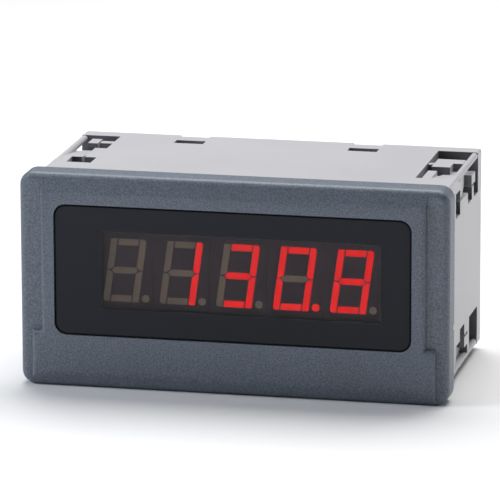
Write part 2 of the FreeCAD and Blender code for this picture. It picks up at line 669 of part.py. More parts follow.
def link_pin_places():
    """X of each pin of the board link."""
    return [(i - (LINK_PIN_COUNT - 1) / 2) * LINK_PITCH for i in range(LINK_PIN_COUNT)]


def board_link():
    """Right-angle pin strip between the two boards."""
    y0 = DISPLAY_BOARD_Y + BOARD_THICKNESS
    y1 = MAIN_BOARD_START + LINK_BODY
    z = BOARD_TOP + LINK_BODY / 2
    span = LINK_PIN_COUNT * LINK_PITCH / 2
    shapes = [box(-span, span, y0, y1, BOARD_TOP, BOARD_TOP + LINK_BODY)]
    half = LINK_PIN / 2
    knee = y1 + LINK_PIN
    for x in link_pin_places():
        shapes.append(box(x - half, x + half, DISPLAY_BOARD_Y - LINK_PIN_TAIL, knee, z - half, z + half))
        shapes.append(box(x - half, x + half, knee - LINK_PIN, knee, BOARD_BOTTOM - LINK_PIN_TAIL, z))
    return fuse(shapes)


def main_board():
    """Level board that carries supply, measuring circuit and headers."""
    half = CASE_INNER_WIDTH / 2 - BOARD_GAP
    board = box(-half, half, MAIN_BOARD_START, COVER_Y - MAIN_BOARD_END_GAP, BOARD_BOTTOM, BOARD_TOP)
    knee = MAIN_BOARD_START + LINK_BODY + LINK_PIN
    holes = []
    for x in link_pin_places():
        holes.append(box(x - LINK_PIN / 2, x + LINK_PIN / 2, knee - LINK_PIN, knee,
                         BOARD_BOTTOM - OVERCUT, BOARD_TOP + OVERCUT))
    for _, ways, centre in TERMINALS:
        for x in way_places(ways, centre):
            holes.append(box(x - PIN_SIZE / 2, x + PIN_SIZE / 2, HEADER_Y - PIN_SIZE, HEADER_Y,
                             BOARD_BOTTOM - OVERCUT, BOARD_TOP + OVERCUT))
    return board.cut(holes)


def chip(width, height, depth, x, y, sides):
    """Surface-mount chip on the main board. Its leads leave the sides that are named."""
    body = box(x - width / 2, x + width / 2, y - depth / 2, y + depth / 2,
               BOARD_TOP + LEAD_THICKNESS, BOARD_TOP + height)
    shapes = [body]
    middle = BOARD_TOP + height / 2
    for axis in sides:
        span = depth if axis == "x" else width
        half_body = (width if axis == "x" else depth) / 2
        count = int((span - LEAD_PITCH) / LEAD_PITCH) + 1
        for index in range(count):
            place = (index - (count - 1) / 2) * LEAD_PITCH
            for side in (-1, 1):
                shapes += lead(side, half_body, place, middle, x, y, axis)
    return fuse(shapes)


def lead(side, half_body, place, middle, x, y, axis):
    """One lead that comes down the body's side and turns out along the board."""
    root = side * (half_body - LEAD_THICKNESS)
    shoulder = side * (half_body + LEAD_THICKNESS)
    toe = side * (half_body + LEAD_REACH)
    runs = [(root, shoulder, BOARD_TOP, middle),
            (root, toe, BOARD_TOP, BOARD_TOP + LEAD_THICKNESS)]
    pieces = []
    for start, end, low, high in runs:
        a, b = sorted((start, end))
        c, d = place - LEAD_WIDTH / 2, place + LEAD_WIDTH / 2
        if axis == "x":
            pieces.append(box(x + a, x + b, y + c, y + d, low, high))
        else:
            pieces.append(box(x + c, x + d, y + a, y + b, low, high))
    return pieces


def driver_chip():
    """Driver chip on the rear of the display board, above the board link."""
    width, height, length = DRIVER_CHIP
    flat = box(-length / 2, length / 2, 0, height, -width / 2, width / 2)
    count = int(length / LEAD_PITCH)
    leads = []
    for index in range(count):
        place = (index - (count - 1) / 2) * LEAD_PITCH
        for side in (-1, 1):
            edge = side * width / 2
            toe = side * (width / 2 + LEAD_REACH)
            leads.append(box(place - LEAD_WIDTH / 2, place + LEAD_WIDTH / 2, 0, LEAD_THICKNESS,
                             min(edge, toe), max(edge, toe)))
    body = fuse([flat] + leads)
    body.translate(V(DRIVER_CHIP_X, DISPLAY_BOARD_Y + BOARD_THICKNESS, WINDOW_CENTRE_Z))
    return body


def crystal():
    """Crystal can with rounded ends, on its flange."""
    can = slab(CRYSTAL_LENGTH, CRYSTAL_WIDTH, CRYSTAL_CORNER, BOARD_TOP, CRYSTAL_HEIGHT)
    flange = slab(CRYSTAL_LENGTH + 2 * CRYSTAL_FLANGE, CRYSTAL_WIDTH + 2 * CRYSTAL_FLANGE,
                  0, BOARD_TOP, CRYSTAL_FLANGE)
    body = fuse([can, flange])
    body.translate(V(CRYSTAL_X, CRYSTAL_Y, 0))
    return body


def slab(width, depth, radius, z, height):
    """Rounded rectangle in the XY plane, standing on z."""
    upright = plate(width, depth, radius, 0, height)
    upright.rotate(V(0, 0, 0), V(1, 0, 0), 90)
    upright.translate(V(0, 0, z))
    return upright


def capacitor(radius, height, x, y):
    """Electrolytic can with the rolled groove near its foot."""
    groove = CAN_GROOVE_Z + CAN_GROOVE
    outline = [(radius, 0), (radius, CAN_GROOVE_Z), (radius - CAN_GROOVE, groove),
               (radius, groove + CAN_GROOVE), (radius, height)]
    rings = [ring(CAN_SIDES, r, x, y, BOARD_TOP + h) for r, h in outline]
    return Part.makeLoft(rings, True, True)


def varistor():
    """Disc varistor standing on the main board."""
    z = BOARD_TOP + VARISTOR_RADIUS
    disc = cylinder(VARISTOR_RADIUS, VARISTOR_THICKNESS, VARISTOR_X - VARISTOR_THICKNESS / 2,
                    VARISTOR_Y, z, V(1, 0, 0))
    foot = box(VARISTOR_X - VARISTOR_THICKNESS / 4, VARISTOR_X + VARISTOR_THICKNESS / 4,
               VARISTOR_Y - VARISTOR_RADIUS / 2, VARISTOR_Y + VARISTOR_RADIUS / 2, BOARD_TOP, z)
    return fuse([disc, foot])


def voltage_regulator():
    """Upright three-lead regulator with its metal tab."""
    half = REGULATOR_WIDTH / 2
    base = BOARD_TOP + REGULATOR_STANDOFF
    back = REGULATOR_Y + REGULATOR_BODY_DEPTH
    body = box(REGULATOR_X - half, REGULATOR_X + half, REGULATOR_Y, back,
               base, base + REGULATOR_BODY_HEIGHT)
    tab = box(REGULATOR_X - half, REGULATOR_X + half, back - REGULATOR_TAB_THICKNESS, back,
              base, base + REGULATOR_TAB_HEIGHT)
    shapes = [body, tab]
    middle = REGULATOR_Y + REGULATOR_BODY_DEPTH / 2
    for place in (-LINK_PITCH, 0, LINK_PITCH):
        x = REGULATOR_X + place
        shapes.append(box(x - PIN_SIZE / 2, x + PIN_SIZE / 2, middle - LINK_PIN / 2,
                          middle + LINK_PIN / 2, BOARD_TOP, base))
    hole_z = base + (REGULATOR_BODY_HEIGHT + REGULATOR_TAB_HEIGHT) / 2
    hole = cylinder(REGULATOR_HOLE, REGULATOR_TAB_THICKNESS + 2 * OVERCUT, REGULATOR_X,
                    back - REGULATOR_TAB_THICKNESS - OVERCUT, hole_z, V(0, 1, 0))
    return fuse(shapes).cut(hole)


CORE_Z = BOARD_TOP + BOBBIN_BASE
CORE_HEIGHT = CASE_INNER_HEIGHT / 2 - CORE_HEAD_ROOM - CORE_Z
WINDOW_LIMB = CORE_WIDTH / 2 - CORE_LIMB
COIL_FRONT = DISPLAY_BOARD_Y + BOARD_THICKNESS + COIL_CLEARANCE
COIL_BACK = HEADER_Y - PIN_SIZE - COIL_CLEARANCE
CORE_STACK = COIL_BACK - COIL_FRONT - 2 * (WINDOW_LIMB - CORE_LIMB)
TRANSFORMER_Y = (COIL_FRONT + COIL_BACK) / 2
COIL_HEIGHT = CORE_HEIGHT - 2 * CORE_LIMB


def transformer_core():
    """Laminated core with two windows and a middle limb."""
    x = TRANSFORMER_X
    y0 = TRANSFORMER_Y - CORE_STACK / 2
    y1 = TRANSFORMER_Y + CORE_STACK / 2
    core = box(x - CORE_WIDTH / 2, x + CORE_WIDTH / 2, y0, y1, CORE_Z, CORE_Z + CORE_HEIGHT)
    cuts = []
    for side in (-1, 1):
        a, b = sorted((side * CORE_LIMB, side * WINDOW_LIMB))
        cuts.append(box(x + a, x + b, y0 - OVERCUT, y1 + OVERCUT, CORE_Z + CORE_LIMB,
                        CORE_Z + CORE_LIMB + COIL_HEIGHT))
    return core.cut(cuts)


def transformer_bobbin():
    """Bobbin round the middle limb, with flanges and feet on the board."""
    low = CORE_Z + CORE_LIMB
    high = low + COIL_HEIGHT
    grow = WINDOW_LIMB - CORE_LIMB
    tube = slab(2 * (CORE_LIMB + BOBBIN_WALL), CORE_STACK + 2 * BOBBIN_WALL, 0,
                low, COIL_HEIGHT)
    shapes = [tube]
    for z in (low, high - BOBBIN_FLANGE):
        shapes.append(slab(2 * WINDOW_LIMB, CORE_STACK + 2 * grow, 0, z, BOBBIN_FLANGE))
    for side in (-1, 1):
        edge = side * CORE_STACK / 2
        tip = side * (CORE_STACK / 2 + grow)
        shapes.append(box(-WINDOW_LIMB, WINDOW_LIMB, min(edge, tip), max(edge, tip),
                          BOARD_TOP, low + BOBBIN_FLANGE))
    body = fuse(shapes)
    body = body.cut(box(-CORE_LIMB, CORE_LIMB, -CORE_STACK / 2, CORE_STACK / 2,
                        low - OVERCUT, high + OVERCUT))
    body.translate(V(TRANSFORMER_X, TRANSFORMER_Y, 0))
    return body


def transformer_winding():
    """Winding between the bobbin's flanges."""
    low = CORE_Z + CORE_LIMB + BOBBIN_FLANGE
    height = COIL_HEIGHT - 2 * BOBBIN_FLANGE
    grow = WINDOW_LIMB - CORE_LIMB - WINDING_MARGIN
    coil = slab(2 * (CORE_LIMB + grow), CORE_STACK + 2 * grow, 0, low, height)
    hole = slab(2 * (CORE_LIMB + BOBBIN_WALL), CORE_STACK + 2 * BOBBIN_WALL, 0,
                low - OVERCUT, height + 2 * OVERCUT)
    coil = coil.cut(hole)
    coil.translate(V(TRANSFORMER_X, TRANSFORMER_Y, 0))
    return coil


def header_width(ways):
    """Outer width of a header's shroud."""
    return ways * TERMINAL_PITCH - 2 * NOSE_SIDE_CUT + 2 * (PLUG_CLEARANCE + HEADER_WALL)


def way_places(ways, centre):
    """X of each way of a terminal."""
    return [centre + (i - (ways - 1) / 2) * TERMINAL_PITCH for i in range(ways)]


def header(ways, centre):
    """Open shroud on the main board; its mouth lies in the rear cover."""
    half = header_width(ways) / 2
    rise = HEADER_HALF_HEIGHT
    shroud = box(centre - half, centre + half, HEADER_Y, SLEEVE_LENGTH, PIN_Z - rise, PIN_Z + rise)
    cuts = [box(centre - half + HEADER_WALL, centre + half - HEADER_WALL, HEADER_Y + HEADER_BACK,
                SLEEVE_LENGTH + OVERCUT, PIN_Z - rise + HEADER_WALL, PIN_Z + rise - HEADER_WALL)]
    for x in way_places(ways, centre):
        cuts.append(box(x - PIN_SIZE / 2, x + PIN_SIZE / 2, HEADER_Y - OVERCUT,
                        HEADER_Y + HEADER_BACK + OVERCUT, PIN_Z - PIN_SIZE / 2, PIN_Z + PIN_SIZE / 2))
    return shroud.cut(cuts)


def header_pins(ways, centre):
    """Bent pins that run from the main board through the header's back wall."""
    pins = []
    half = PIN_SIZE / 2
    for x in way_places(ways, centre):
        rod = box(x - half, x + half, HEADER_Y - PIN_SIZE, HEADER_Y + HEADER_BACK + PIN_LENGTH,
                  PIN_Z - half, PIN_Z + half)
        leg = box(x - half, x + half, HEADER_Y - PIN_SIZE, HEADER_Y, BOARD_TOP - PIN_TAIL, PIN_Z)
        pins.append(fuse([rod, leg]))
    return Part.makeCompound(pins)


def plug(ways, centre):
    """Pull-off terminal block: nose in the header, clamp chambers outside."""
    half = ways * TERMINAL_PITCH / 2
    top = PLUG_BOTTOM + PLUG_HEIGHT
    outline = [(PLUG_Y, PLUG_BOTTOM), (PLUG_END, PLUG_BOTTOM), (PLUG_END, top - PLUG_BEVEL),
               (PLUG_END - PLUG_BEVEL / 2, top), (PLUG_Y + PLUG_BEVEL / 2, top),
               (PLUG_Y, top - PLUG_BEVEL)]
    block = side_profile(outline, centre - half, centre + half)
    nose_half = half - NOSE_SIDE_CUT
    nose = box(centre - nose_half, centre + nose_half, NOSE_Y, PLUG_Y + OVERCUT,
               PIN_Z - NOSE_HEIGHT / 2, PIN_Z + NOSE_HEIGHT / 2)
    cuts = []
    chamber_half = CAGE_WIDTH / 2 + CAGE_CLEARANCE
    floor = PLUG_BOTTOM + CHAMBER_FLOOR
    ceiling = floor + CHAMBER_HEIGHT
    wire_low = floor + CAGE_REST + CAGE_BOTTOM
    for x in way_places(ways, centre):
        cuts.append(box(x - chamber_half, x + chamber_half, CHAMBER_Y, CHAMBER_Y + CHAMBER_DEPTH,
                        floor, ceiling))
        cuts.append(box(x - WIRE_HOLE_WIDTH / 2, x + WIRE_HOLE_WIDTH / 2, CHAMBER_Y + CHAMBER_DEPTH / 2,
                        PLUG_END + OVERCUT, wire_low, wire_low + WIRE_HOLE_HEIGHT))
        cuts.append(bore(SCREW_RADIUS + SCREW_CLEARANCE, PLUG_HEIGHT, x, SCREW_Y, floor))
        cuts.append(cylinder(SCREW_HEAD_RADIUS + SCREW_CLEARANCE, PLUG_HEIGHT, x, SCREW_Y,
                             ceiling + LEDGE_THICKNESS))
        cuts.append(contact_prism(x, OVERCUT))
    return fuse([block, nose]).cut(cuts)


def contact_prism(x, ahead):
    """Space of one contact, run ahead of the nose by a given length."""
    half = CONTACT_WIDTH / 2
    reach = PIN_SIZE / 2 + CONTACT_GAP + CONTACT_BLADE
    fork = box(x - half, x + half, NOSE_Y - ahead, CHAMBER_Y - CHAMBER_WALL,
               PIN_Z - reach, PIN_Z + reach)
    bar = box(x - half, x + half, CHAMBER_Y - CHAMBER_WALL, CHAMBER_Y + CHAMBER_DEPTH - CAGE_CLEARANCE,
              PIN_Z - CONTACT_THICKNESS / 2, PIN_Z + CONTACT_THICKNESS / 2)
    return fuse([fork, bar])


def contacts(ways, centre):
    """Forked contacts: two blades round the pin and a bar under the clamp."""
    pieces = []
    inner = PIN_SIZE / 2 + CONTACT_GAP
    for x in way_places(ways, centre):
        whole = contact_prism(x, 0)
        throat = box(x - CONTACT_WIDTH, x + CONTACT_WIDTH, NOSE_Y - OVERCUT,
                     CHAMBER_Y - CHAMBER_WALL - CONTACT_THICKNESS, PIN_Z - inner, PIN_Z + inner)
        pieces.append(whole.cut(throat))
    return Part.makeCompound(pieces)


def clamp_cage(x):
    """Rising cage with a window for the wire and a threaded top."""
    floor = PLUG_BOTTOM + CHAMBER_FLOOR + CAGE_REST
    cage = box(x - CAGE_WIDTH / 2, x + CAGE_WIDTH / 2, SCREW_Y - CAGE_DEPTH / 2,
               SCREW_Y + CAGE_DEPTH / 2, floor, floor + CAGE_HEIGHT)
    window = box(x - CAGE_WIDTH / 2 + CAGE_SIDE, x + CAGE_WIDTH / 2 - CAGE_SIDE,
                 SCREW_Y - CAGE_DEPTH, SCREW_Y + CAGE_DEPTH,
                 floor + CAGE_BOTTOM, floor + CAGE_HEIGHT - CAGE_TOP)
    hole = bore(SCREW_RADIUS + SCREW_CLEARANCE, CAGE_HEIGHT, x, SCREW_Y, floor + CAGE_BOTTOM)
    return cage.cut([window, hole])


def clamp_screw(x):
    """Slotted clamp screw, held under the plug's top."""
    seat = PLUG_BOTTOM + CHAMBER_FLOOR + CHAMBER_HEIGHT + LEDGE_THICKNESS + SCREW_CLEARANCE
    tip = PLUG_BOTTOM + SCREW_END
    top = seat + SCREW_HEAD_HEIGHT
    shank = prism(SHANK_SIDES, SCREW_RADIUS, seat - tip, x, SCREW_Y, tip)
    head = prism(HEAD_SIDES, SCREW_HEAD_RADIUS, SCREW_HEAD_HEIGHT, x, SCREW_Y, seat)
    slot = box(x - SCREW_HEAD_RADIUS * 2, x + SCREW_HEAD_RADIUS * 2, SCREW_Y - SCREW_SLOT_WIDTH / 2,
               SCREW_Y + SCREW_SLOT_WIDTH / 2, top - SCREW_SLOT_DEPTH, top + OVERCUT)
    return fuse([shank, head]).cut(slot)


def build():
    """Every piece by its node name."""
    nodes = {
        "bezel": bezel(),
        "display_window": display_window(),
        "panel_gasket": gasket_ring(-GASKET_THICKNESS, 0),
        "housing": housing(),
        "rear_cover": rear_cover(),
        "display_board": display_board(),
        "main_board": main_board(),
        "board_link": board_link(),
        "driver_chip": driver_chip(),
        "processor_chip": chip(PROCESSOR_SIDE, PROCESSOR_HEIGHT, PROCESSOR_SIDE,
                               PROCESSOR_X, PROCESSOR_Y, "xy"),
        "converter_chip": chip(*CONVERTER_CHIP, CONVERTER_X, CONVERTER_Y, "y"),
        "crystal": crystal(),
        "smoothing_capacitor": capacitor(SMOOTHING_RADIUS, SMOOTHING_HEIGHT, SMOOTHING_X, SMOOTHING_Y),
        "filter_capacitor": capacitor(FILTER_RADIUS, FILTER_HEIGHT, FILTER_X, FILTER_Y),
        "varistor": varistor(),
        "voltage_regulator": voltage_regulator(),
        "transformer_core": transformer_core(),
        "transformer_bobbin": transformer_bobbin(),
        "transformer_winding": transformer_winding(),
    }
    for index, lit in enumerate(LIT_SEGMENTS):
        x = digit_x(index)
        number = index + 1
        nodes["digit_module_%d" % number] = digit_module(index)
        dark = [segment(name, x) for name in "abcdefgp" if name not in lit]
        nodes["dark_segments_%d" % number] = Part.makeCompound(dark)
        if lit:
            nodes["lit_segments_%d" % number] = Part.makeCompound([segment(name, x) for name in lit])
    for name, ways, centre in TERMINALS:
        nodes[name + "_header"] = header(ways, centre)
        nodes[name + "_pins"] = header_pins(ways, centre)
        nodes[name + "_plug"] = plug(ways, centre)
        nodes[name + "_contacts"] = contacts(ways, centre)
        for number, x in enumerate(way_places(ways, centre), 1):
            nodes["%s_screw_%d" % (name, number)] = clamp_screw(x)
            nodes["%s_cage_%d" % (name, number)] = clamp_cage(x)
    return nodes


os.makedirs("parts", exist_ok=True)
for node, shape in build().items():
    shape.exportStep("parts/%s.step" % node)
    print(node, len(shape.Solids), shape.isValid(), round(shape.Volume, 2))
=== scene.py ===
import math

import bmesh
import bpy
from mathutils import Matrix, Vector


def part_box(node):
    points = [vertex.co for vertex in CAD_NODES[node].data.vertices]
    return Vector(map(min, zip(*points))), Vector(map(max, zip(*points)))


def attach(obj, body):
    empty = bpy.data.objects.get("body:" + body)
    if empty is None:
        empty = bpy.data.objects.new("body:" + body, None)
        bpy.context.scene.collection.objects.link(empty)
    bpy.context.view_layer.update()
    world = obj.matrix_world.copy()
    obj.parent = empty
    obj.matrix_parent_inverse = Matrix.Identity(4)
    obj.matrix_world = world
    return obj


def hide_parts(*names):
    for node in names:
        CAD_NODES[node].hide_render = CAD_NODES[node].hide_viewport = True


bl_info = {
    "name": "Digital panel meter",
    "version": (1, 0, 0),
    "blender": (4, 5, 0),
    "location": "3D View > Sidebar > Panel meter",
    "description": "Finishes, wound parts, solder and studio for a five-digit panel meter",
    "category": "Object",
}

MM = 0.001
WELD = 1e-6                 # corners of the CAD meshes that lie nearer are joined
FLAT = math.radians(0.5)    # neighbouring faces that turn less are one flat face
SHARP = math.radians(32)    # edges that turn further are sharp
NOISE_ENDS = (0.3, 0.7)     # nearly all of a noise lies between these values
WAVES_PER_TURN = 20         # how fast Blender's wave texture runs at scale 1
PIN_PITCH = 2.54 * MM
SOLDER_DROP = 0.4 * MM      # a solder joint's middle below the board
LEAD_LENGTH = 1.3 * MM      # how far a chip's leads stand out past its body
LEAD_AXES = {"driver_chip": "z", "processor_chip": "xy", "converter_chip": "y"}
# Each column's X and first Y in mm, and how many resistors it has
RESISTOR_COLUMNS = ((14.5, 19, 4), (18.5, 19, 4), (22.5, 20, 3), (26.5, 21, 3), (23.5, 9, 2))
RESISTOR_STEP = 3.5         # from one to the next in a column, in mm
CAPACITORS = ("smoothing_capacitor", "filter_capacitor")

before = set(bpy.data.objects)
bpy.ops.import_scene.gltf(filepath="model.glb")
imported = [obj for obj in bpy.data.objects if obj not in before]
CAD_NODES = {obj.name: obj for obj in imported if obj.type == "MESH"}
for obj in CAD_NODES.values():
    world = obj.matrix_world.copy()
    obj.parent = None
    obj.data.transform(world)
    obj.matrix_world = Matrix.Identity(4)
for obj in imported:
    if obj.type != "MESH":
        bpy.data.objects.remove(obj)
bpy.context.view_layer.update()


def nodes_with(part):
    """Names of the CAD nodes that have a word in their name."""
    return sorted(name for name in CAD_NODES if part in name)


DIGITS = nodes_with("digit_module_")
UNLIT = nodes_with("dark_segments_")
LIT = nodes_with("lit_segments_")
SCREWS = nodes_with("_screw_")


# Colours, nodes and meshes

def linear(code):
    """sRGB hex to the linear colour that shaders and light use."""
    levels = [int(code[i:i + 2], 16) / 255 for i in (1, 3, 5)]
    return [c / 12.92 if c <= 0.04045 else ((c + 0.055) / 1.055) ** 2.4 for c in levels]


def solid(colour):
    """A colour with full alpha, from a property or a hex code."""
    if isinstance(colour, str):
        colour = linear(colour)
    return (*colour, 1.0)


def feed(tree, node, inputs):
    """Sets a node's inputs to values, or links them to the outputs that feed them."""
    for key, value in inputs.items():
        if isinstance(value, bpy.types.NodeSocket):
            tree.links.new(value, node.inputs[key])
        else:
            node.inputs[key].default_value = value


def add(tree, kind, inputs=None, **settings):
    """Adds a node. Settings are its own, inputs are values or the outputs that feed them."""
    node = tree.nodes.new(kind)
    for name, value in settings.items():
        setattr(node, name, value)
    feed(tree, node, inputs or {})
    return node


def first(tree, kind, inputs=None, **settings):
    """Adds a node and gives its first output."""
    return add(tree, kind, inputs, **settings).outputs[0]


def paint(names, mat):
    """Gives CAD nodes one material."""
    for name in names:
        mesh = CAD_NODES[name].data
        mesh.materials.clear()
        mesh.materials.append(mat)


def paint_where(mesh, mat, test):
    """Gives the faces whose middle and normal pass the test a material of their own."""
    index = len(mesh.materials)
    mesh.materials.append(mat)
    for face in mesh.polygons:
        if test(face.center, face.normal):
            face.material_index = index


def new_object(name, data):
    """An object in the scene, at the origin."""
    made = bpy.data.objects.new(name, data)
    bpy.context.scene.collection.objects.link(made)
    return made


def to_object(work, name):
    """Turns a bmesh into an object."""
    mesh = bpy.data.meshes.new(name)
    work.to_mesh(mesh)
    work.free()
    return new_object(name, mesh)


def is_sharp(edge, outward):
    """True for an edge that turns past SHARP, outward or inward."""
    return edge.is_manifold and edge.is_convex == outward and edge.calc_face_angle() > SHARP


def merged_copy(name, new_name):
    """A copy of a CAD node with its triangles joined up, its flat faces made whole, its outer
    edges marked for rounding and its inner ones kept sharp."""
    work = bmesh.new()
    work.from_mesh(CAD_NODES[name].data)
    bmesh.ops.remove_doubles(work, verts=work.verts, dist=WELD)
    bmesh.ops.dissolve_limit(work, angle_limit=FLAT, verts=work.verts, edges=work.edges,
                             delimit={"NORMAL"})
    for face in work.faces:
        face.smooth = True
    rounded = work.edges.layers.float.new("bevel_weight_edge")
    for edge in work.edges:
        edge[rounded] = float(is_sharp(edge, True))
        edge.smooth = not is_sharp(edge, False)
    return to_object(work, new_name)


def soften(piece, width):
    """Small moulded radius on every outer edge, with flat faces kept flat."""
    bevel = piece.modifiers.new("moulded_radius", "BEVEL")
    bevel.width = width
    bevel.segments = 2
    bevel.limit_method = "WEIGHT"
    bevel.use_clamp_overlap = True
    flat = piece.modifiers.new("flat_faces", "WEIGHTED_NORMAL")
    flat.weight = 50
    flat.keep_sharp = True
    return piece


def finished(piece, mat, body, replaced=()):
    """Gives a piece its material, puts it on its body and hides the CAD nodes it stands for."""
    piece.data.materials.clear()
    piece.data.materials.append(mat)
    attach(piece, body)
    for node in replaced:
        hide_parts(node)
    return piece


def grown(name, tree, seed_points, values, body):
    """Runs a geometry tree over the points and keeps the result as a plain mesh on one body."""
    mesh = bpy.data.meshes.new(name)
    mesh.from_pydata([tuple(point) for point in seed_points], [], [])
    carrier = new_object(name, mesh)
    growth = carrier.modifiers.new("growth", "NODES")
    growth.node_group = tree
    sockets = {item.name: item.identifier for item in tree.interface.items_tree
               if item.item_type == "SOCKET" and item.in_out == "INPUT"}
    for key, value in values.items():
        growth[sockets[key]] = value
    depsgraph = bpy.context.evaluated_depsgraph_get()
    result = bpy.data.meshes.new_from_object(carrier.evaluated_get(depsgraph))
    if not result.polygons:
        raise RuntimeError("the tree of %s gave no faces" % name)
    carrier.modifiers.remove(growth)
    carrier.data = result
    result.name = name
    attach(carrier, body)
    return carrier


# Materials

class Surface:
    """A material in the making: one Principled shader, and what feeds it from the object's
    coordinates."""

    def __init__(self, name):
        self.mat = bpy.data.materials.new(name)
        self.mat.use_nodes = True
        self.tree = self.mat.node_tree
        self.tree.nodes.clear()
        self.shader = self.add("BsdfPrincipled")
        self.add("OutputMaterial", {"Surface": self.shader.outputs["BSDF"]})
        self.place = self.add("TexCoord").outputs["Object"]

    def add(self, kind, inputs=None, **settings):
        """Adds a shader node."""
        return add(self.tree, "ShaderNode" + kind, inputs, **settings)

    def noise(self, size, detail=2.0, place=None, **more):
        """Noise with features of a size in metres."""
        inputs = {"Vector": self.place if place is None else place, "Scale": 1 / size,
                  "Detail": detail, **more}
        return self.add("TexNoise", inputs).outputs["Fac"]

    def wave(self, period, axis, profile, distortion):
        """Bands along an axis, one to each period in metres."""
        return self.add("TexWave", {
            "Vector": self.place, "Scale": math.tau / (WAVES_PER_TURN * period),
            "Distortion": distortion}, bands_direction=axis, wave_profile=profile).outputs["Fac"]

    def stretched(self, scale):
        """The object's coordinates, scaled along each axis."""
        return self.add("Mapping", {"Vector": self.place, "Scale": scale}).outputs["Vector"]

    def maths(self, operation, *values):
        """One operation on one or two numbers."""
        return self.add("Math", dict(enumerate(values)), operation=operation).outputs[0]

    def spread(self, value, low, high, ends=NOISE_ENDS):
        """Runs from low to high while the value runs from one end to the other."""
        return self.add("MapRange", {"Value": value, "From Min": ends[0], "From Max": ends[1],
                                     "To Min": low, "To Max": high}).outputs["Result"]

    def polish(self, value, low, high):
        """Roughness that runs from low to high with the whole of a noise."""
        return self.spread(value, low, high, (0.0, 1.0))

    def tint(self, colour, factor):
        """A colour made lighter and darker by a factor that varies over the surface."""
        return self.add("VectorMath", {0: colour, "Scale": factor}, operation="SCALE").outputs[0]

    def clouded(self, colour, size, low, high, detail=2.0):
        """A colour that drifts between two shares of itself in patches of a size."""
        return self.tint(colour, self.spread(self.noise(size, detail), low, high))

    def ramp(self, value, dark, light, stops=(0.0, 1.0)):
        """Runs from one colour to another with a value."""
        ramp = self.add("ValToRGB", {"Fac": value})
        for element, code, stop in zip(ramp.color_ramp.elements, (dark, light), stops):
            element.color = solid(code)
            element.position = stop
        return ramp.outputs["Color"]

    def mix(self, share, plain, full):
        """Mixes two colours, which are inputs 6 and 7 of the node."""
        return self.add("Mix", {0: share, 6: plain, 7: full}, data_type="RGBA").outputs[2]

    def relief(self, height, strength, depth):
        """A normal that follows a height, with a depth in metres."""
        return self.add("Bump", {"Height": height, "Strength": strength,
                                 "Distance": depth}).outputs["Normal"]

    def done(self, inputs):
        """Feeds the shader and gives the material."""
        feed(self.tree, self.shader, inputs)
        return self.mat


def slate_spark_eroded_abs(colour, grain):
    """ABS moulded against a spark-eroded tool: an even pebbly grain that breaks the highlight
    into a soft dull sheen. The real grain is about 0.08 mm and is drawn coarser so it shows."""
    skin = Surface("slate_spark_eroded_abs")
    pebble = skin.noise(grain * MM, Roughness=0.55)
    drift = skin.spread(skin.noise(14 * MM, 3.0), 0.97, 1.03)
    shade = skin.maths("MULTIPLY", skin.spread(pebble, 0.64, 1.38), drift)
    return skin.done({"Base Color": skin.tint(colour, shade), "Roughness": 0.46, "IOR": 1.54,
                      "Normal": skin.relief(pebble, 0.6, 0.09 * MM)})


def light_grey_moulded_abs(colour, name="light_grey_moulded_abs"):
    """ABS from a fine-textured tool: nearly smooth, satin, with faint flow clouds. Its texture
    is drawn coarser than the real one."""
    skin = Surface(name)
    return skin.done({"Base Color": skin.clouded(colour, 22 * MM, 0.97, 1.02),
                      "Roughness": 0.42, "IOR": 1.52,
                      "Normal": skin.relief(skin.noise(0.35 * MM), 0.15, 0.04 * MM)})


def smoked_cast_acrylic(tint, mask, haze, field):
    """Cast acrylic, smoke tinted and printed black from behind, with a clear field before the
    digits: a still face, near black all round and darkened glass in the middle. Both its faces
    are bloomed against reflections, so its IOR is set low."""
    skin = Surface("smoked_cast_acrylic")
    axes = skin.add("SeparateXYZ", {"Vector": skin.place})
    print_edge = 0.02 * MM
    inside = []
    for axis, near, far in zip("XZ", *field):
        off = skin.maths("SUBTRACT", axes.outputs[axis], (near + far) / 2)
        reach = (far - near) / 2
        inside.append(skin.spread(skin.maths("ABSOLUTE", off), 1.0, 0.0,
                                  (reach - print_edge, reach + print_edge)))
    clear = skin.maths("MULTIPLY", *inside)
    return skin.done({"Base Color": skin.mix(clear, solid(mask), solid(tint)),
                      "Transmission Weight": skin.maths("MULTIPLY", clear, 1 - haze),
                      "Normal": skin.relief(skin.noise(18 * MM, 1.0), 0.05, 0.2 * MM),
                      "Roughness": 0.03, "IOR": 1.2})


def cellular_rubber(colour):
    """Die-cut cellular rubber: matt black with open pores on its cut sides."""
    skin = Surface("cellular_rubber")
    pores = skin.add("TexVoronoi", {"Vector": skin.place, "Scale": 1 / (0.4 * MM)})
    return skin.done({"Base Color": solid(colour), "Roughness": 0.85,
                      "Normal": skin.relief(pores.outputs["Distance"], 0.6, 0.1 * MM)})


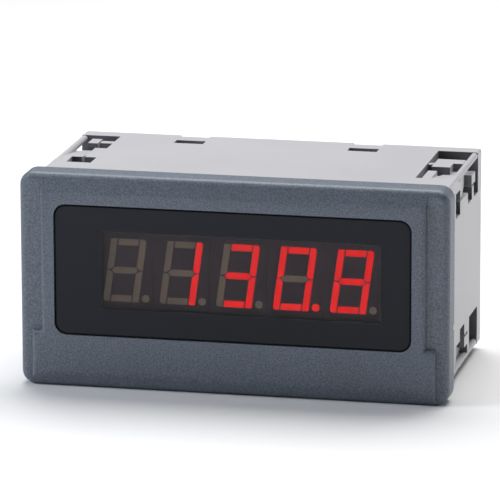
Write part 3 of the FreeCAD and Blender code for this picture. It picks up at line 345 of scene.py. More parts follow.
def masked_glass_fibre_board(along):
    """Glass-fibre board under green solder mask: copper tracks show through as paler lines,
    and the sawn edge is bare straw-coloured laminate."""
    skin = Surface("masked_glass_fibre_board_" + along)
    level = along == "level"
    turn = (0.0 if level else math.radians(90), 0.0, 0.0)
    flat = skin.add("Mapping", {"Vector": skin.place, "Rotation": turn})
    tracks = skin.add("TexBrick", {
        "Vector": flat.outputs["Vector"], "Color1": solid("#14532F"), "Color2": solid("#175A34"),
        "Mortar": solid("#2C7A45"), "Scale": 1.0, "Mortar Size": 0.22 * MM,
        "Mortar Smooth": 0.1, "Brick Width": 7.4 * MM, "Row Height": 1.9 * MM})
    facing = skin.add("SeparateXYZ", {"Vector": skin.add("NewGeometry").outputs["Normal"]})
    broad = skin.maths("ABSOLUTE", facing.outputs["Z" if level else "Y"])
    edge = skin.maths("LESS_THAN", broad, 0.5)
    return skin.done({
        "Base Color": skin.mix(edge, tracks.outputs["Color"], solid("#A9A06A")),
        "Normal": skin.relief(tracks.outputs["Fac"], 0.3, 0.035 * MM), "Roughness": 0.28})


def tinned_copper():
    """Hot-tinned copper: bright, slightly wavy metal."""
    skin = Surface("tinned_copper")
    wave = skin.noise(0.8 * MM)
    return skin.done({"Base Color": solid("#CFCFCB"), "Metallic": 1.0,
                      "Roughness": skin.polish(wave, 0.18, 0.42),
                      "Normal": skin.relief(wave, 0.2, 0.05 * MM)})


def stacked_core_steel(sheet):
    """Varnished steel sheets stacked along the core: fine dark seams and a brown sheen."""
    skin = Surface("stacked_core_steel")
    bands = skin.wave(sheet, "Y", "SIN", 0.0)
    return skin.done({"Base Color": skin.ramp(bands, "#2A2522", "#75706B", (0.1, 0.45)),
                      "Normal": skin.relief(bands, 0.5, 0.06 * MM),
                      "Metallic": 0.85, "Roughness": 0.42})


def polyester_tape():
    """Yellow polyester tape over a winding: glossy, with the edge of each wrap standing up."""
    skin = Surface("polyester_tape")
    tape_width = 4.5 * MM
    wraps = skin.wave(tape_width, "Z", "SAW", 0.3)
    return skin.done({"Base Color": solid("#D2A624"), "Roughness": 0.25,
                      "Normal": skin.relief(wraps, 0.5, 0.08 * MM)})


def grey_inked_face(colour):
    """Inked face of a digit module: dark neutral grey, dull, with a light print grain."""
    skin = Surface("grey_inked_face")
    return skin.done({"Base Color": skin.clouded(colour, 0.3 * MM, 0.93, 1.07),
                      "Roughness": 0.55, "Specular IOR Level": 0.2})


def milky_epoxy_unlit(colour):
    """Cast milky epoxy that fills an unlit segment: warm grey, waxy, faintly cloudy."""
    skin = Surface("milky_epoxy_unlit")
    return skin.done({"Base Color": skin.clouded(colour, 1.2 * MM, 0.94, 1.06),
                      "Roughness": 0.4})


def milky_epoxy_lit(colour, strength):
    """The same epoxy with its red diode on: it glows evenly, a little hotter in patches."""
    skin = Surface("milky_epoxy_lit")
    return skin.done({"Emission Color": skin.clouded(colour, 2.4 * MM, 0.92, 1.08, 1.0),
                      "Emission Strength": strength, "Base Color": solid("#5A0C0A"),
                      "Roughness": 0.4, "Specular IOR Level": 0.2})


def green_moulded_polyamide(colour):
    """Moulded polyamide of terminals: mid green, satin, with a slight flow mottle."""
    skin = Surface("green_moulded_polyamide")
    return skin.done({"Base Color": skin.clouded(colour, 5 * MM, 0.93, 1.06, 3.0),
                      "Normal": skin.relief(skin.noise(0.25 * MM), 0.2, 0.04 * MM),
                      "Roughness": 0.38})


def mottled(name, size, detail, dark, light, looks):
    """A surface whose colour runs between two tones in patches of a size."""
    skin = Surface(name)
    tone = skin.ramp(skin.noise(size, detail), dark, light)
    return skin.done({"Base Color": tone, **looks})


def black_moulded_nylon():
    """Glass-filled nylon: dull black with a faint fibre mottle on its skin."""
    return mottled("black_moulded_nylon", 0.6 * MM, 4.0, "#161616", "#262626",
                   {"Roughness": 0.5})


def inner_case_painted_shade():
    """Inner case in dull near-black: painted shade, so that the sleeve's windows read as dark
    holes.
    """
    return mottled("inner_case_painted_shade", 0.5 * MM, 2.0, "#15171B", "#1F2228",
                   {"Roughness": 0.6})


def printed_stripe():
    """Pale ink stripe that marks a capacitor's negative side, on the same glossy sleeve."""
    return mottled("printed_stripe", 0.5 * MM, 3.0, "#8C93A2", "#B4BAC6", {"Roughness": 0.3})


def enamelled_copper_wire():
    """Enamelled winding wire: copper under clear amber enamel, bright along each turn."""
    return mottled("enamelled_copper_wire", 2 * MM, 2.0, "#A9561F", "#CC7A3A",
                   {"Metallic": 1.0, "Roughness": 0.3, "Coat Weight": 0.6})


def fired_ceramic():
    """Fired ceramic of small resistors: near-black top glaze with a fine speckle."""
    return mottled("fired_ceramic", 0.2 * MM, 2.0, "#1B1B1E", "#2E2E33", {"Roughness": 0.35})


def toothed(name, colour, size, detail, strength, depth, looks, stretch=None):
    """A surface of one colour whose relief has features of a size, stretched along the axes."""
    skin = Surface(name)
    place = skin.stretched(stretch) if stretch else None
    relief = skin.relief(skin.noise(size, detail, place), strength, depth)
    return skin.done({"Base Color": solid(colour), "Normal": relief, **looks})


def moulded_epoxy():
    """Transfer-moulded epoxy of chips: charcoal, finely sanded look."""
    return toothed("moulded_epoxy", "#1D1D1F", 0.12 * MM, 2.0, 0.4, 0.03 * MM,
                   {"Roughness": 0.6})


def shrink_sleeve():
    """Heat-shrunk vinyl sleeve of a capacitor: glossy navy black with slight draw lines."""
    return toothed("shrink_sleeve", "#1A2236", 0.7 * MM, 2.0, 0.15, 0.05 * MM,
                   {"Roughness": 0.22}, (1.0, 1.0, 0.15))


def dipped_epoxy():
    """Dip-coated epoxy of a varistor: glossy blue with slow runs in its surface."""
    return toothed("dipped_epoxy", "#1D4C8C", 3 * MM, 1.0, 0.6, 0.3 * MM, {"Roughness": 0.2})


def pale_studio_paper(colour):
    """Pale seamless studio paper: flat and even, with the faintest tooth."""
    return toothed("pale_studio_paper", colour, 2 * MM, 2.0, 0.05, 0.1 * MM,
                   {"Roughness": 0.9, "Specular IOR Level": 0.1})


def worn_metal(name, colour, size, low, high, stretch=None):
    """Bare metal whose polish varies in patches of a size, stretched along the axes."""
    skin = Surface(name)
    place = skin.stretched(stretch) if stretch else None
    return skin.done({"Base Color": solid(colour), "Metallic": 1.0,
                      "Roughness": skin.polish(skin.noise(size, 3.0, place), low, high)})


def zinc_plated_steel():
    """Zinc-plated turned steel: bluish bright metal, a little dulled in fine patches."""
    return worn_metal("zinc_plated_steel", "#BFC3C6", 0.5 * MM, 0.25, 0.5)


def pressed_aluminium():
    """Pressed aluminium of a can's top: pale grey with drawn streaks."""
    return worn_metal("pressed_aluminium", "#C8C9CB", 0.3 * MM, 0.3, 0.55, (1.0, 0.1, 1.0))


def reflowed_solder():
    """Reflowed solder: rounded, bright and slightly frosted."""
    return worn_metal("reflowed_solder", "#D6D7D6", 0.3 * MM, 0.15, 0.4)


# Geometry trees

def new_tree(name, sockets):
    """An empty geometry tree with the points it starts from and its named inputs."""
    tree = bpy.data.node_groups.new(name, "GeometryNodeTree")
    tree.interface.new_socket("Geometry", in_out="INPUT", socket_type="NodeSocketGeometry")
    for label, kind, default in sockets:
        socket = tree.interface.new_socket(label, in_out="INPUT", socket_type="NodeSocket" + kind)
        socket.default_value = default
    tree.interface.new_socket("Geometry", in_out="OUTPUT", socket_type="NodeSocketGeometry")
    return tree, add(tree, "NodeGroupInput").outputs


def scaled(tree, value, factor):
    """A number times a factor."""
    return first(tree, "ShaderNodeMath", {0: value, 1: factor}, operation="MULTIPLY")


def dressed(tree, geometry, mat):
    """Gives a geometry its material."""
    return first(tree, "GeometryNodeSetMaterial", {"Geometry": geometry, "Material": mat})


def placed(tree, points, shape, **more):
    """Puts a shape on each point."""
    return first(tree, "GeometryNodeInstanceOnPoints",
                 {"Points": points, "Instance": shape, **more})


def closed(tree, instances, mat=None, smooth=False):
    """Makes instances real, gives them a material where they have none, and ends the tree."""
    shape = first(tree, "GeometryNodeRealizeInstances", {"Geometry": instances})
    if smooth:
        shape = first(tree, "GeometryNodeSetShadeSmooth", {"Geometry": shape})
    if mat is not None:
        shape = dressed(tree, shape, mat)
    add(tree, "NodeGroupOutput", {"Geometry": shape})
    return tree


def wound_turns_tree():
    """Turns of wire wound side by side up a rectangular bobbin."""
    tree, given = new_tree("wound_turns", [
        ("Turns", "Int", 40), ("Wire", "Float", 0.3 * MM), ("Width", "Float", 0.01),
        ("Depth", "Float", 0.01), ("Corner", "Float", 0.001), ("Foot", "Vector", (0.0, 0.0, 0.0)),
        ("Material", "Material", None)])
    loop = first(tree, "GeometryNodeCurvePrimitiveQuadrilateral",
                 {"Width": given["Width"], "Height": given["Depth"]})
    bent = first(tree, "GeometryNodeFilletCurve",
                 {"Curve": loop, "Radius": given["Corner"], "Count": 3}, mode="POLY")
    section = first(tree, "GeometryNodeCurvePrimitiveCircle",
                    {"Resolution": 6, "Radius": scaled(tree, given["Wire"], 0.5)})
    turn = first(tree, "GeometryNodeCurveToMesh", {"Curve": bent, "Profile Curve": section})
    rise = first(tree, "ShaderNodeCombineXYZ", {"Z": given["Wire"]})
    rows = first(tree, "GeometryNodeMeshLine",
                 {"Count": given["Turns"], "Start Location": given["Foot"], "Offset": rise})
    return closed(tree, placed(tree, rows, turn), given["Material"], smooth=True)


def screw_thread_tree():
    """A thread's ridge: a helix with a three-sided section, up from each starting point."""
    tree, given = new_tree("screw_thread", [
        ("Pitch", "Float", 0.5 * MM), ("Length", "Float", 5 * MM), ("Radius", "Float", 1.4 * MM),
        ("Ridge", "Float", 0.12 * MM), ("Material", "Material", None)])
    turns = first(tree, "ShaderNodeMath", {0: given["Length"], 1: given["Pitch"]},
                  operation="DIVIDE")
    helix = first(tree, "GeometryNodeCurveSpiral", {
        "Resolution": 20, "Rotations": turns, "Start Radius": given["Radius"],
        "End Radius": given["Radius"], "Height": given["Length"]})
    section = first(tree, "GeometryNodeCurvePrimitiveCircle",
                    {"Resolution": 3, "Radius": given["Ridge"]})
    ridge = first(tree, "GeometryNodeCurveToMesh",
                  {"Curve": helix, "Profile Curve": section, "Fill Caps": True})
    return closed(tree, placed(tree, given["Geometry"], ridge), given["Material"])


def solder_joint_tree():
    """A small cone of solder at each point, widest on the board."""
    tree, given = new_tree("solder_joints", [
        ("Foot", "Float", 0.9 * MM), ("Tip", "Float", 0.4 * MM), ("Height", "Float", 0.8 * MM),
        ("Turned", "Vector", (0.0, 0.0, 0.0)), ("Material", "Material", None)])
    cone = first(tree, "GeometryNodeMeshCone", {
        "Vertices": 12, "Side Segments": 2, "Radius Top": given["Tip"],
        "Radius Bottom": given["Foot"], "Depth": given["Height"]})
    cones = placed(tree, given["Geometry"], cone, Rotation=given["Turned"])
    return closed(tree, cones, given["Material"], smooth=True)


def chip_resistor_tree():
    """A surface-mount resistor at each point, some turned by a quarter."""
    tree, given = new_tree("chip_resistors", [
        ("Length", "Float", 2.0 * MM), ("Width", "Float", 1.25 * MM),
        ("Height", "Float", 0.55 * MM), ("Cap", "Float", 0.4 * MM), ("Seed", "Int", 7),
        ("Body Material", "Material", None), ("Cap Material", "Material", None)])
    body_size = first(tree, "ShaderNodeCombineXYZ",
                      {"X": given["Length"], "Y": given["Width"], "Z": given["Height"]})
    body = first(tree, "GeometryNodeMeshCube", {"Size": body_size})
    cap_wider, cap_taller = 1.06, 1.1
    cap_size = first(tree, "ShaderNodeCombineXYZ", {
        "X": given["Cap"], "Y": scaled(tree, given["Width"], cap_wider),
        "Z": scaled(tree, given["Height"], cap_taller)})
    cap = dressed(tree, first(tree, "GeometryNodeMeshCube", {"Size": cap_size}),
                  given["Cap Material"])
    shift = first(tree, "ShaderNodeCombineXYZ", {"X": scaled(tree, given["Length"], 0.5)})
    across = first(tree, "ShaderNodeVectorMath", {0: shift, "Scale": -2.0}, operation="SCALE")
    ends = first(tree, "GeometryNodeMeshLine",
                 {"Count": 2, "Start Location": shift, "Offset": across})
    whole = add(tree, "GeometryNodeJoinGeometry")
    for part in (dressed(tree, body, given["Body Material"]), placed(tree, ends, cap)):
        tree.links.new(part, whole.inputs["Geometry"])
    draw = add(tree, "FunctionNodeRandomValue", {"Seed": given["Seed"]}, data_type="BOOLEAN")
    is_turned = draw.outputs[3]
    angle = first(tree, "ShaderNodeCombineXYZ", {"Z": scaled(tree, is_turned, math.pi / 2)})
    return closed(tree, placed(tree, given["Geometry"], whole.outputs[0], Rotation=angle))


# What a user would change

class MeterFinish(bpy.types.PropertyGroup):
    """Colours, grain and moulded edges"""
    slate: bpy.props.FloatVectorProperty(
        name="Bezel colour", description="Colour of the moulded front", subtype="COLOR", size=3,
        default=linear("#636C78"), min=0, max=1)
    bezel_grain: bpy.props.FloatProperty(
        name="Bezel grain", description="Grain of the bezel's surface in millimetres", default=0.36,
        min=0.05, max=2)
    edge_radius: bpy.props.FloatProperty(
        name="Edge radius", description="Moulded radius of the bezel's edges", default=0.3 * MM,
        min=0, max=0.001, unit="LENGTH")
    sleeve: bpy.props.FloatVectorProperty(
        name="Sleeve colour", description="Colour of the sleeve and rear cover", subtype="COLOR",
        size=3, default=linear("#BDBCBF"), min=0, max=1)
    # Painted shade: a darker grey given to the walls that face forward in the sleeve's windows, in
    # place of the shade they lie in
    reveal: bpy.props.FloatVectorProperty(
        name="Reveal colour", description="Colour of the walls that face forward in the sleeve's "
        "windows", subtype="COLOR", size=3, default=linear("#5E6065"), min=0, max=1)
    sleeve_radius: bpy.props.FloatProperty(
        name="Sleeve edge radius", description="Moulded radius of the sleeve's edges",
        default=0.14 * MM, min=0, max=0.001, unit="LENGTH")
    smoke: bpy.props.FloatVectorProperty(
        name="Smoke tint", description="What the pane lets through", subtype="COLOR", size=3,
        default=linear("#BDBCBE"), min=0, max=1)
    mask: bpy.props.FloatVectorProperty(
        name="Printed border", description="Colour of the print behind the pane", subtype="COLOR",
        size=3, default=linear("#292A30"), min=0, max=1)
    haze: bpy.props.FloatProperty(
        name="Haze", description="How much of the light the clear field scatters", default=0.026,
        min=0, max=1)
    field_margin: bpy.props.FloatProperty(
        name="Field margin", description="How far the clear field reaches below the segments, and "
        "about as far above and at the right", default=1.5 * MM, min=0, max=0.003, unit="LENGTH")
    rubber: bpy.props.FloatVectorProperty(
        name="Gasket colour", description="Colour of the gasket", subtype="COLOR", size=3,
        default=linear("#202022"), min=0, max=1)
    digit_face: bpy.props.FloatVectorProperty(
        name="Digit face", description="Colour of the digit modules' faces", subtype="COLOR",
        size=3, default=linear("#624C57"), min=0, max=1)
    unlit: bpy.props.FloatVectorProperty(
        name="Unlit segment", description="Colour of segments that are off", subtype="COLOR",
        size=3, default=linear("#DCBEA0"), min=0, max=1)
    lit: bpy.props.FloatVectorProperty(
        name="Lit segment", description="Colour of segments that are on", subtype="COLOR", size=3,
        default=linear("#FF0A0A"), min=0, max=1)
    glow: bpy.props.FloatProperty(
        name="Glow", description="Brightness of lit segments", default=1.3, min=0, max=10)
    terminal: bpy.props.FloatVectorProperty(
        name="Terminal colour", description="Colour of the pull-off terminals", subtype="COLOR",
        size=3, default=linear("#2F7D4C"), min=0, max=1)


class MeterParts(bpy.types.PropertyGroup):
    """Sizes of the wound, threaded and soldered parts"""
    wire: bpy.props.FloatProperty(
        name="Winding wire", description="Thickness of the enamelled wire", default=0.4 * MM,
        min=0.0001, max=0.002, unit="LENGTH")
    thread_pitch: bpy.props.FloatProperty(
        name="Thread pitch", description="Pitch of the clamp screws", default=0.5 * MM,
        min=0.0002, max=0.002, unit="LENGTH")
    sheet: bpy.props.FloatProperty(
        name="Core sheet", description="Thickness of one sheet of the core", default=0.5 * MM,
        min=0.0002, max=0.002, unit="LENGTH")
    resistor_length: bpy.props.FloatProperty(
        name="Resistor length", description="Length of the small resistors", default=2.0 * MM,
        min=0.0005, max=0.005, unit="LENGTH")
    seed: bpy.props.IntProperty(
        name="Seed", description="Which resistors are turned", default=7, min=0)


class MeterStudio(bpy.types.PropertyGroup):
    """The paper and the light"""
    paper: bpy.props.FloatVectorProperty(
        name="Paper colour", description="Colour of the floor", subtype="COLOR", size=3,
        default=linear("#F2F2F2"), min=0, max=1)
    room: bpy.props.FloatProperty(
        name="Room light", description="Strength of the even light all round", default=0.06,
        min=0, max=5)
    key_power: bpy.props.FloatProperty(
        name="Key light", description="Power of the softbox above", default=7.0, min=0,
        unit="POWER")
    side_power: bpy.props.FloatProperty(
        name="Side light", description="Power of the softbox on the right", default=1.2, min=0,
        unit="POWER")
    front_power: bpy.props.FloatProperty(
        name="Front light", description="Power of the softbox on the left before the front",
        default=0.86, min=0, unit="POWER")
    front_colour: bpy.props.FloatVectorProperty(
        name="Front light colour", description="Colour of the front softbox", subtype="COLOR",
        size=3, default=linear("#EEF4FF"), min=0, max=1)
    floor_power: bpy.props.FloatProperty(
        name="Floor light", description="Power of the softbox over the floor in front",
        default=0.85, min=0, unit="POWER")


# Operators

class METER_OT_front(bpy.types.Operator):
    """Finishes the bezel, its pane and the gasket behind it, with painted shade in near-black on
    the bezel's rear part and its hollow behind the pane
    """
    bl_idname = "meter.front"
    bl_label = "Front"

    def execute(self, context):
        finish = context.scene.meter_finish
        slate = slate_spark_eroded_abs(finish.slate, finish.bezel_grain)
        bezel = soften(merged_copy("bezel", "moulded_bezel"), finish.edge_radius)
        finished(bezel, slate, "case", ["bezel"])
        # The bezel's rear part and its hollow behind the pane get near-black: painted shade
        paint_where(bezel.data, inner_case_painted_shade(), lambda centre, normal: inside_bezel(centre))
        paint(["bezel"], slate)
        field = clear_field(finish.field_margin)
        pane = smoked_cast_acrylic(finish.smoke, finish.mask, finish.haze, field)
        paint(["display_window"], pane)
        paint(["panel_gasket"], cellular_rubber(finish.rubber))
        return {"FINISHED"}


class METER_OT_display(bpy.types.Operator):
    """Finishes the digit modules and their segments, with an inked card round the modules"""
    bl_idname = "meter.display"
    bl_label = "Display"

    def execute(self, context):
        finish = context.scene.meter_finish
        ink = grey_inked_face(finish.digit_face)
        paint(DIGITS, ink)
        gap = 0.02 * MM
        past_view = 1.6 * MM
        thickness = 0.4 * MM
        inner = widened(outline(DIGITS), gap, gap, gap, gap)
        low, high = clear_field(finish.field_margin)
        seen = ((min(low[0], inner[0][0]), low[1]), high)
        outer = widened(seen, past_view, past_view, past_view, past_view)
        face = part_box(DIGITS[0])[0].y
        surround = frame_plate("inked_surround", inner, outer, face, face + thickness)
        finished(surround, ink, "case")
        paint(UNLIT, milky_epoxy_unlit(finish.unlit))
        paint(LIT, milky_epoxy_lit(finish.lit, finish.glow))
        return {"FINISHED"}


class METER_OT_sleeve(bpy.types.Operator):
    """Finishes the sleeve and the rear cover, with their moulded edges, and paints shade as a
    darker grey on the sleeve's forward-facing window walls
    """
    bl_idname = "meter.sleeve"
    bl_label = "Sleeve"

    def execute(self, context):
        finish = context.scene.meter_finish
        grey = light_grey_moulded_abs(finish.sleeve)
        painted_reveal_shade = light_grey_moulded_abs(finish.reveal, "painted_shade_of_reveals")
        forward = -0.5      # a normal's Y below this faces forward
        for node, name in (("housing", "moulded_sleeve"), ("rear_cover", "moulded_cover")):
            piece = soften(merged_copy(node, name), finish.sleeve_radius)
            finished(piece, grey, "case", [node])
            has_reveals = node == "housing"
            # Faces of the sleeve that face forward inside its windows get the darker grey: painted
            # shade
            paint_where(piece.data, painted_reveal_shade, lambda centre, normal: has_reveals
                        and normal.y < forward and centre.y > MM)
            paint([node], grey)
        return {"FINISHED"}


class METER_OT_boards(bpy.types.Operator):
    """Finishes both boards and adds solder joints and small resistors to them"""
    bl_idname = "meter.boards"
    bl_label = "Boards"

    def execute(self, context):
        parts = context.scene.meter_parts
        paint(["main_board"], masked_glass_fibre_board("level"))
        paint(["display_board"], masked_glass_fibre_board("upright"))
        paint(["board_link"], black_moulded_nylon())
        metal = tinned_copper()
        link_low, link_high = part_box("board_link")
        main_low, main_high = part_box("main_board")
        display_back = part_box("display_board")[1].y
        pin_side = 0.7 * MM
        pin_middle = 0.32 * MM
        paint_where(CAD_NODES["board_link"].data, metal,
                    lambda centre, normal: centre.z < main_high.z or centre.y < display_back
                    or centre.y > link_high.y - pin_side)
        under = main_low.z - SOLDER_DROP
        count = round((link_high.x - link_low.x) / PIN_PITCH)
        spots = [(link_low.x + PIN_PITCH * (index + 0.5), link_high.y - pin_middle, under)
                 for index in range(count)]
        for name in ("signal_pins", "supply_pins"):
            spots += [(x, y, under) for x, y in pin_feet(name)]
        upside_down = (math.pi, 0.0, 0.0)
        solder = {"Turned": upside_down, "Material": reflowed_solder()}
        grown("solder_joints", solder_joint_tree(), spots, solder, "case")
        resistor_z = main_high.z + 0.3 * MM
        places = [(x * MM, (y + RESISTOR_STEP * row) * MM, resistor_z)
                  for x, y, rows in RESISTOR_COLUMNS for row in range(rows)]
        values = {"Length": parts.resistor_length, "Seed": parts.seed,
                  "Body Material": fired_ceramic(), "Cap Material": metal}
        small = grown("chip_resistors", chip_resistor_tree(), places, values, "case")
        if len(small.data.materials) < 2:
            raise RuntimeError("the resistors lost a material")
        return {"FINISHED"}


class METER_OT_transformer(bpy.types.Operator):
    """Finishes the transformer and winds its wire"""
    bl_idname = "meter.transformer"
    bl_label = "Transformer"

    def execute(self, context):
        parts = context.scene.meter_parts
        paint(["transformer_core"], stacked_core_steel(parts.sheet))
        paint(["transformer_bobbin"], black_moulded_nylon())
        paint(["transformer_winding"], polyester_tape())
        low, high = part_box("transformer_winding")
        middle = (low + high) / 2
        taped_share = 0.55
        turns = int((high.z - low.z) * (1 - taped_share) / parts.wire)
        values = {"Turns": turns, "Wire": parts.wire, "Width": high.x - low.x,
                  "Depth": high.y - low.y, "Corner": 0.6 * MM,
                  "Foot": (middle.x, middle.y, low.z + parts.wire / 2),
                  "Material": enamelled_copper_wire()}
        grown("wound_wire", wound_turns_tree(), [(0, 0, 0)], values, "case")
        return {"FINISHED"}


class METER_OT_components(bpy.types.Operator):
    """Finishes the chips, capacitors, varistor, regulator and crystal"""
    bl_idname = "meter.components"
    bl_label = "Components"

    def execute(self, context):
        epoxy = moulded_epoxy()
        metal = tinned_copper()
        paint(LEAD_AXES, epoxy)
        for name, axes in LEAD_AXES.items():
            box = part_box(name)
            paint_where(CAD_NODES[name].data, metal,
                        lambda centre, normal: is_lead(centre, box, axes))
        paint(["crystal"], pressed_aluminium())
        paint(CAPACITORS, shrink_sleeve())
        stripe = printed_stripe()
        lid = pressed_aluminium()
        lid_depth = 0.1 * MM
        upright, level = 0.5, 0.9   # a normal's Z below and above these
        half_stripe = 0.35          # radians round the can
        for name in CAPACITORS:
            mesh = CAD_NODES[name].data
            low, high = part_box(name)
            middle = (low + high) / 2
            paint_where(mesh, stripe, lambda centre, normal: abs(normal.z) < upright and abs(
                math.atan2(centre.y - middle.y, centre.x - middle.x)) < half_stripe)
            paint_where(mesh, lid, lambda centre, normal: normal.z > level
                        and centre.z > high.z - lid_depth)
        paint(["varistor"], dipped_epoxy())
        paint(["voltage_regulator"], epoxy)
        low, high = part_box("voltage_regulator")
        body_low, body_high, tab = 2.4 * MM, 11.6 * MM, 0.1 * MM
        paint_where(CAD_NODES["voltage_regulator"].data, metal,
                    lambda centre, normal: centre.z > low.z + body_high
                    or centre.z < low.z + body_low or centre.y > high.y - tab)
        return {"FINISHED"}


class METER_OT_terminals(bpy.types.Operator):
    """Finishes the pull-off terminals and cuts the threads of their screws"""
    bl_idname = "meter.terminals"
    bl_label = "Terminals"

    def execute(self, context):
        parts = context.scene.meter_parts
        green = green_moulded_polyamide(context.scene.meter_finish.terminal)
        zinc = zinc_plated_steel()
        for name in ("signal", "supply"):
            paint([name + "_header", name + "_plug"], green)
            paint([name + "_pins", name + "_contacts"], tinned_copper())
        paint(nodes_with("_cage_"), zinc)
        paint(SCREWS, zinc)
        tree = screw_thread_tree()
        plain_end = 0.25 * MM
        head_and_ends = 2.6 * MM
        for name in SCREWS:
            low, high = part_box(name)
            middle = (low + high) / 2
            values = {"Pitch": parts.thread_pitch, "Length": high.z - low.z - head_and_ends,
                      "Material": zinc}
            foot = (middle.x, middle.y, low.z + plain_end)
            grown(name + "_thread", tree, [foot], values, name)
        return {"FINISHED"}


class METER_OT_stage(bpy.types.Operator):
    """Lays the floor, sets the lights and the camera"""
    bl_idname = "meter.stage"
    bl_label = "Studio"

    def execute(self, context):
        studio = context.scene.meter_studio
        scene = context.scene
        scene.view_settings.view_transform = "Standard"
        reach = 3.0
        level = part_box("bezel")[0].z
        corners = [(x * reach, y * reach, level) for x, y in ((-1, -1), (1, -1), (1, 1), (-1, 1))]
        mesh = bpy.data.meshes.new("paper_floor")
        mesh.from_pydata(corners, [], [(0, 1, 2, 3)])
        mesh.materials.append(pale_studio_paper(studio.paper))
        floor = new_object("paper_floor", mesh)
        meter = (0, 0, 0)
        lamps = [
            softbox("key_softbox", (0.0, 0.34, 0.67), meter, (0.7, 0.5), studio.key_power),
            softbox("side_softbox", (0.62, 0.46, 0.18), meter, (0.5, 0.4), studio.side_power),
            softbox("front_softbox", (-0.34, -0.15, 0.26), meter, (0.16, 0.16),
                    studio.front_power, studio.front_colour),
            softbox("floor_softbox", (-0.05, -0.4, 0.6), (-0.05, -0.4, 0), (0.8, 0.5),
                    studio.floor_power, spread=50)]
        world = bpy.data.worlds.new("even_room")
        world.use_nodes = True
        tree = world.node_tree
        tree.nodes.clear()
        sky = first(tree, "ShaderNodeBackground",
                    {"Color": solid("#FFFFFF"), "Strength": studio.room})
        add(tree, "ShaderNodeOutputWorld", {"Surface": sky})
        scene.world = world
        scene.camera = photo_camera()
        return {"FINISHED"}


# Places and tests

def outline(names):
    """Low and high corner, in X and Z, of several nodes together."""
    boxes = [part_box(name) for name in names]
    return ((min(low.x for low, high in boxes), min(low.z for low, high in boxes)),
            (max(high.x for low, high in boxes), max(high.z for low, high in boxes)))


def widened(corners, left, below, right, above):
    """An outline with its sides moved outward."""
    low, high = corners
    return (low[0] - left, low[1] - below), (high[0] + right, high[1] + above)


def clear_field(margin):
    """Low and high corner, in X and Z, of the pane's clear field before the segments. It starts
    at their left edge and stands out on the other sides, as in the photo."""
    right, above = 0.8 * margin, 1.25 * margin
    return widened(outline(UNLIT + LIT), 0.0, margin, right, above)


def frame_plate(name, inner, outer, front, back):
    """A thin plate with a rectangular opening, upright and facing forward."""
    work = bmesh.new()
    outer_front, outer_back, inner_front, inner_back = [
        [work.verts.new((x, y, z)) for x, z in (low, (high[0], low[1]), high, (low[0], high[1]))]
        for low, high in (outer, inner) for y in (front, back)]
    for one, other in ((outer_front, inner_front), (outer_back, inner_back),
                       (outer_front, outer_back), (inner_front, inner_back)):
        for side, after in ((0, 1), (1, 2), (2, 3), (3, 0)):
            work.faces.new((one[side], one[after], other[after], other[side]))
    bmesh.ops.recalc_face_normals(work, faces=work.faces)
    return to_object(work, name)


def inside_bezel(centre):
    """True for a face of the bezel's rear part, or of its hollow behind the pane's ledge."""
    low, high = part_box("display_window")
    slack = 0.05 * MM
    half_hollow = 21 * MM
    return centre.y > slack or (centre.y > high.y - slack and abs(centre.z) < half_hollow
                                and low.x - MM < centre.x < high.x + MM)


def is_lead(centre, box, axes):
    """True for a face of a chip's leads, which stand out past its body along these axes."""
    low, high = box
    return any(not getattr(low, axis) + LEAD_LENGTH < getattr(centre, axis)
               < getattr(high, axis) - LEAD_LENGTH for axis in axes)


def pin_feet(name):
    """X and Y of each pin's lower end."""
    mesh = CAD_NODES[name].data
    low = min(vertex.co.z for vertex in mesh.vertices)
    feet = set()
    for face in mesh.polygons:
        if abs(face.center.z - low) < WELD:
            corners = [mesh.vertices[index].co for index in face.vertices]
            xs = [corner.x for corner in corners]
            ys = [corner.y for corner in corners]
            feet.add((round((min(xs) + max(xs)) / 2, 5), round((min(ys) + max(ys)) / 2, 5)))
    return sorted(feet)


# Studio

def softbox(name, place, aim, size, power, colour=(1, 1, 1), spread=180):
    """A rectangular softbox that looks from one place at another."""
    lamp = bpy.data.lights.new(name, "AREA")
    lamp.shape = "RECTANGLE"
    lamp.size, lamp.size_y = size
    lamp.energy = power
    lamp.color = colour
    lamp.spread = math.radians(spread)
    box = new_object(name, lamp)
    box.location = place
    box.rotation_euler = (Vector(place) - Vector(aim)).to_track_quat("Z", "Y").to_euler()
    return box


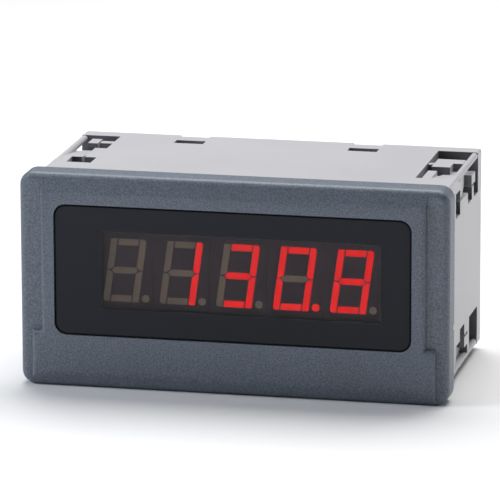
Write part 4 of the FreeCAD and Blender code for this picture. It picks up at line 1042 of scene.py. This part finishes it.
def photo_camera():
    """The photo's camera, from a fit to its edges: a long lens, a little from the left and
    above."""
    azimuth = math.radians(12.5807)
    elevation = math.radians(13.6691)
    roll = math.radians(-0.1703)
    away = 1.1160376
    off_side = 2.4453 * MM
    off_up = 7.0837 * MM
    focus_px = 5088.383
    photo_side_px = 500
    back = Vector((math.sin(azimuth) * math.cos(elevation),
                   -math.cos(azimuth) * math.cos(elevation), math.sin(elevation)))
    level = Vector((math.cos(azimuth), math.sin(azimuth), 0.0))
    upright = back.cross(level)
    right = level * math.cos(roll) + upright * math.sin(roll)
    up = upright * math.cos(roll) - level * math.sin(roll)
    lens = bpy.data.cameras.new("photo_camera")
    lens.sensor_width = 36.0
    lens.lens = focus_px / photo_side_px * lens.sensor_width
    lens.clip_start = 0.01
    camera = new_object("photo_camera", lens)
    place = back * away + right * off_side + up * off_up
    axes = Matrix((right, up, back)).transposed().to_4x4()
    camera.matrix_world = Matrix.Translation(place) @ axes
    return camera


class METER_PT_sidebar(bpy.types.Panel):
    """Lists the meter's groups of pieces and their settings"""
    bl_idname = "METER_PT_sidebar"
    bl_label = "Panel meter"
    bl_space_type = "VIEW_3D"
    bl_region_type = "UI"
    bl_category = "Panel meter"

    def draw(self, context):
        scene = context.scene
        for group in (scene.meter_finish, scene.meter_parts, scene.meter_studio):
            column = self.layout.column()
            for name in group.bl_rna.properties.keys():
                if name not in ("name", "rna_type"):
                    column.prop(group, name)
        for step in STEPS:
            self.layout.operator(step.bl_idname)


STEPS = (METER_OT_front, METER_OT_display, METER_OT_sleeve, METER_OT_boards, METER_OT_transformer,
         METER_OT_components, METER_OT_terminals, METER_OT_stage)
CLASSES = (MeterFinish, MeterParts, MeterStudio, *STEPS, METER_PT_sidebar)


def register():
    """Registers the classes and puts their settings on the scene."""
    for kind in CLASSES:
        bpy.utils.register_class(kind)
    bpy.types.Scene.meter_finish = bpy.props.PointerProperty(type=MeterFinish)
    bpy.types.Scene.meter_parts = bpy.props.PointerProperty(type=MeterParts)
    bpy.types.Scene.meter_studio = bpy.props.PointerProperty(type=MeterStudio)


def unregister():
    """Takes the settings and the classes away again."""
    del bpy.types.Scene.meter_studio
    del bpy.types.Scene.meter_parts
    del bpy.types.Scene.meter_finish
    for kind in reversed(CLASSES):
        bpy.utils.unregister_class(kind)


def main():
    """Builds the whole scene."""
    register()
    bpy.ops.meter.front()
    bpy.ops.meter.display()
    bpy.ops.meter.sleeve()
    bpy.ops.meter.boards()
    bpy.ops.meter.transformer()
    bpy.ops.meter.components()
    bpy.ops.meter.terminals()
    bpy.ops.meter.stage()


if __name__ == "__main__":
    main()
